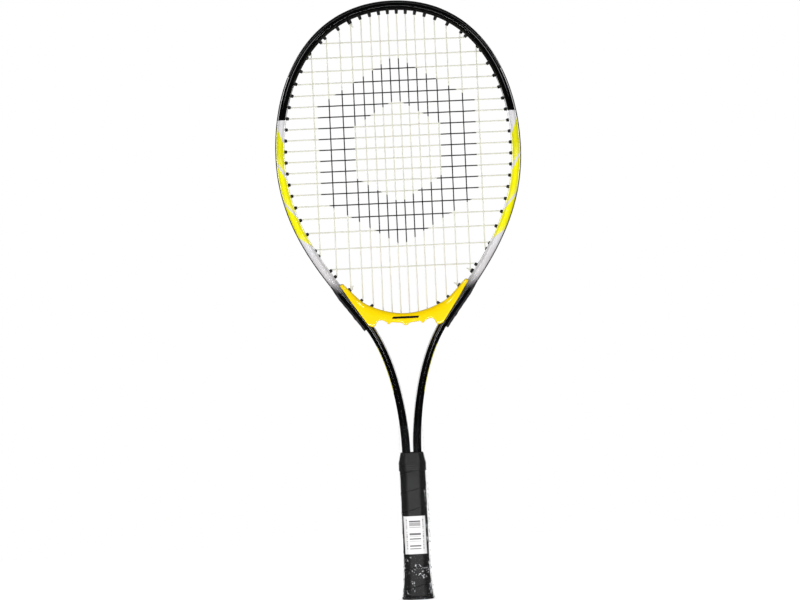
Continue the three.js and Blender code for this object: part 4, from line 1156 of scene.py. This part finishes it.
def film():
    """A loose clear sleeve: smooth over the flats, creased along the bevels, at the butt and at its ends."""
    low, high = (corner.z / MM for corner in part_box("grip_film"))
    heights = np.linspace(low, high, FILM_ROWS)
    collar_low, collar_high = (corner.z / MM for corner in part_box("grip_collar"))
    rings, crease_glints = [], []
    for z in heights:
        base = FILM_OFFSET + flare_at(z) * 0.97
        base += 0.55 * smoothstep(z, collar_low - 8, collar_low)
        base -= 1.75 * smoothstep(z, collar_low + 3, collar_high + 3)
        base -= 0.75 * smoothstep(z, collar_high, high)
        ends = 0.3 + 1.0 * (1 - smoothstep(z, 44, 56)) + 0.4 * smoothstep(z, collar_high, high)
        offsets, marks = [], []
        for x, y in OCTAGON:
            tall = ripple(x * 0.22, y * 0.22, z * 0.035)
            slant = ripple(x * 0.42 + z * 0.17, y * 0.42 - z * 0.11, z * 0.14 + 7.0)
            fine = ripple(x * 0.8, y * 0.8, z * 0.45 + 31.0)
            ridge = max(1 - abs(slant) * 3.2, 0)
            offset = base + ends * (0.22 * tall + 0.30 * ridge ** 3 + 0.10 * fine)
            patch = float(smoothstep(ripple(x * 0.11 + 5, y * 0.11, z * 0.07), -0.25, 0.15))
            # The spare width is gathered into long pleats along the right front bevel.
            gathered = smoothstep(x, 8.5, 11.0) * smoothstep(-y, 2.0, 5.0) * (1 - smoothstep(z, 122, 140))
            pleat = max(1 - abs(ripple(x * 0.9, y * 0.9, z * 0.05 + 17.0)) * 4.0, 0)
            offsets.append(offset + 0.25 * float(gathered) * pleat ** 2)
            # These marks place the film's painted glints: on the creased ridges and along the pleats.
            marks.append(max(ridge ** 4 * ends * patch, 1.1 * float(gathered) * pleat ** 3))
        rings.append(handle_ring(z, np.array(offsets)))
        crease_glints.append(marks)
    ragged = np.array([ripple(x * 0.5, y * 0.5, 3.0) for x, y in OCTAGON])
    for at, reach in ((-1, 1.0), (-2, 0.6), (-3, 0.3)):
        rings[at][:, 2] -= 1.1 * reach * (ragged + 1)
    outer = np.array(rings)
    towards_axis = outer * np.array([1.0, 1.0, 0.0])
    towards_axis /= np.linalg.norm(towards_axis, axis=2)[:, :, None]
    inner = (outer - FILM_SHEET * towards_axis)[::-1]
    marks = np.vstack([crease_glints, crease_glints[::-1], crease_glints[:1]])
    shell = Shell()
    shell.add_rings(np.concatenate([outer, inner, outer[:1]]), caps=False, crease=marks)
    fin_rings, fin_glints = [], []
    for z in np.linspace(10, 140, FIN_ROWS):
        root = outer[np.argmin(np.abs(heights - z)), FIN_CORNER]
        reach = FIN_REACH * (0.75 + 0.5 * ripple(3.0, 0.0, z * 0.12))
        sway = 1.1 * ripple(9.0, 0.0, z * 0.09)
        ruffle = 0.5 * ripple(14.0, 0.0, z * 0.35)
        middle = root + np.array([0.5 * reach, -0.2 + 0.5 * sway, 0])
        tip = root + np.array([reach, -0.5 + sway + ruffle, 0])
        side = np.array([0, FILM_SHEET, 0])
        fin_rings.append([root - side, middle - side, tip - side, tip + side, middle + side, root + side])
        # Painted glints along the fin, brightest towards its tip.
        shine = 0.7 + 1.2 * ripple(21.0, 0.0, z * 0.3)
        fin_glints.append([0.3 * shine, 0.6 * shine, shine, shine, 0.6 * shine, 0.3 * shine])
    shell.add_rings(fin_rings, crease=np.array(fin_glints))
    shell.piece("grip_film_creased", film_finish(), "clear_film", "grip_film", sharp=80,
                welded=True)


def label():
    """A thin sticker that bends over the handle's bevels, lying on the film."""
    low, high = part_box("price_label")
    top, bottom = high.z / MM, low.z / MM
    half_facet = PALLET_HALF_X + LABEL_OFFSET - (PALLET_BEVEL + FACET_NARROWING * LABEL_OFFSET)
    front = -(PALLET_HALF_Y + LABEL_OFFSET)

    def across(distance):
        beyond = max(0.0, abs(distance) - half_facet) * math.sqrt(0.5)
        return math.copysign(min(abs(distance), half_facet) + beyond, distance), front + beyond

    def layer(lift):
        rows = []
        for z in np.linspace(bottom, top, LABEL_ROWS):
            row = []
            for distance in np.linspace(-LABEL_HALF_WIDTH, LABEL_HALF_WIDTH, LABEL_COLUMNS):
                x, y = across(distance)
                wave = 0.12 * ripple(distance * 0.25, 0, z * 0.15)
                from_middle = z - (top + bottom) / 2
                corner = max(0.0, abs(distance) / LABEL_HALF_WIDTH - 0.85)
                corner *= max(0.0, abs(from_middle) / ((top - bottom) / 2) - 0.9)
                lean = LABEL_LEAN * from_middle
                row.append([x - LABEL_SHIFT - lean, y - lift + wave - 14 * corner, z])
            rows.append(row)
        return np.array(rows)

    outer, inner = layer(LABEL_THICKNESS), layer(0.0)
    rings = [np.vstack([outer[row], inner[row][::-1]]) for row in range(len(outer))]
    shell = Shell()
    shell.add_rings(rings)
    shell.piece("price_label_stuck", label_finish(), "label_paper", "price_label", sharp=50)


def butt_cap():
    """The cap's rolled lip shows below the grip, round a shallow dished end face."""
    shell = Shell()
    outer = GRIP_OFFSET + FLARE
    profile = [(22.0, 0.6), (14.0, 1.5), (8.0, flare_at(8.0)), (3.4, flare_at(3.4)), (2.6, outer - 0.7),
               (2.3, outer - 0.15), (1.6, outer), (0.8, outer - 0.1), (0.3, outer - 0.45), (0.0, outer - 1.1)]
    rings = [handle_ring(z, offset) for z, offset in profile]
    angles = np.arctan2(OCTAGON[:, 1], OCTAGON[:, 0])
    for z, radius in ((0.0, 9.9), (0.5, 9.0), (PLUG_RECESS_Z, 9.0)):
        rings.append(np.column_stack([radius * np.cos(angles), radius * np.sin(angles), np.full(AROUND, z)]))
    rings += [handle_ring(PLUG_RECESS_Z, -1.0), handle_ring(22.0, -0.7), handle_ring(*profile[0])]
    shell.add_rings(rings, caps=False)
    shell.piece("butt_cap_moulded", CAP_PLASTIC, "cap_plastic", "butt_cap", sharp=50,
                welded=True)


# ---- carried-over parts, stage, light and camera
CARRIED = {
    "left_bridge_pin": BRUSHED_STEEL, "right_bridge_pin": BRUSHED_STEEL,
    "front_staple": BRUSHED_STEEL, "back_staple": BRUSHED_STEEL,
    "front_pallet": PALLET_FOAM, "back_pallet": PALLET_FOAM,
    "butt_plug": CAP_PLASTIC, "finishing_tape": CLOTH_TAPE,
}


def dress(node, material):
    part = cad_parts[node]
    part.data.materials.clear()
    part.data.materials.append(material)


def stage():
    bpy.ops.mesh.primitive_circle_add(vertices=96, radius=FLOOR_RADIUS, fill_type="NGON",
                                      location=(0, 0, -FLOOR_DROP))
    floor = bpy.context.object
    floor.name = "floor"
    paint = Finish("floor_paper", Roughness=0.9, Specular_IOR_Level=0.1, Emission_Color=(1, 1, 1, 1),
                   Emission_Strength=0.6)
    paint.colour(paint.mix(paint.noise(9.0, 4.0), (0.93, 0.93, 0.93, 1), (0.96, 0.96, 0.96, 1)))
    floor.data.materials.append(paint.material)
    floor.visible_glossy = False


def area_light(name, place, size, watts, target=(0.0, 0.0, 0.36), mirrored_in_gloss=True):
    lamp = bpy.data.lights.new(name, "AREA")
    lamp.shape = "RECTANGLE"
    lamp.size, lamp.size_y = size
    lamp.energy = watts
    made = bpy.data.objects.new(name, lamp)
    made.location = place
    made.rotation_euler = (Vector(target) - Vector(place)).to_track_quat("-Z", "Y").to_euler()
    made.visible_camera = False
    made.visible_glossy = mirrored_in_gloss
    scene.collection.objects.link(made)


# Each pair of side lights: its name, its place on the right, its size, the watts on the left and on the
# right, and whether glossy faces mirror it. The small high pair gives the highlights.
SIDE_LIGHTS = [
    ("front", (1.7, -2.9, 0.5), (1.0, 1.6), (16, 8), False),
    ("high", (1.7, -2.9, 1.8), (0.7, 1.3), (30, 30), True),
    ("back", (1.9, 2.6, 0.9), (1.6, 1.6), (40, 40), True),
]


def lights():
    """The side lights, a low one for the handle and a world that is white to the camera and dim elsewhere."""
    for at, (side, name) in enumerate(SIDES):
        for pair, (x, y, z), size, watts, mirrored_in_gloss in SIDE_LIGHTS:
            area_light(f"{pair}_{name}_light", (side * x, y, z), size, watts[at],
                       mirrored_in_gloss=mirrored_in_gloss)
    area_light("low_front_light", (0.0, -2.0, 0.035), (1.2, 0.06), 9, (0.0, 0.0, 0.035))
    world = bpy.data.worlds.new("studio")
    world.use_nodes = True
    tree = world.node_tree
    seen = tree.nodes["Background"]
    seen.inputs["Color"].default_value = (1, 1, 1, 1)
    seen.inputs["Strength"].default_value = 1.0
    lit = tree.nodes.new("ShaderNodeBackground")
    lit.inputs["Color"].default_value = (1, 1, 1, 1)
    ray = tree.nodes.new("ShaderNodeLightPath")
    strength = tree.nodes.new("ShaderNodeMapRange")
    strength.inputs["To Min"].default_value = 0.13
    strength.inputs["To Max"].default_value = 0.03
    tree.links.new(ray.outputs["Is Glossy Ray"], strength.inputs["Value"])
    tree.links.new(strength.outputs[0], lit.inputs["Strength"])
    mix = tree.nodes.new("ShaderNodeMixShader")
    tree.links.new(ray.outputs["Is Camera Ray"], mix.inputs[0])
    tree.links.new(lit.outputs[0], mix.inputs[1])
    tree.links.new(seen.outputs[0], mix.inputs[2])
    tree.links.new(mix.outputs[0], tree.nodes["World Output"].inputs[0])
    scene.world = world
    scene.view_settings.view_transform = "Standard"


def camera():
    """Straight on, level, with the racket leaning a little to the left in the picture."""
    lens = bpy.data.cameras.new("camera")
    lens.sensor_width = SENSOR_WIDTH
    lens.lens = LENS_LENGTH
    distance = LENS_LENGTH * VIEW_WIDTH / SENSOR_WIDTH
    made = bpy.data.objects.new("camera", lens)
    scene.collection.objects.link(made)
    level = Matrix.Rotation(math.radians(90), 4, "X")
    lean = Matrix.Rotation(math.radians(-RACKET_LEAN), 4, "Z")
    place = Matrix.Translation((VIEW_MIDDLE[0], -distance, VIEW_MIDDLE[1]))
    made.matrix_world = place @ level @ lean
    scene.camera = made


camera()
lights()
stage()
frame_tube()
strips()
bridge()
strings()
grip()
collar()
butt_cap()
film()
label()
for carried, finish in CARRIED.items():
    dress(carried, finish)
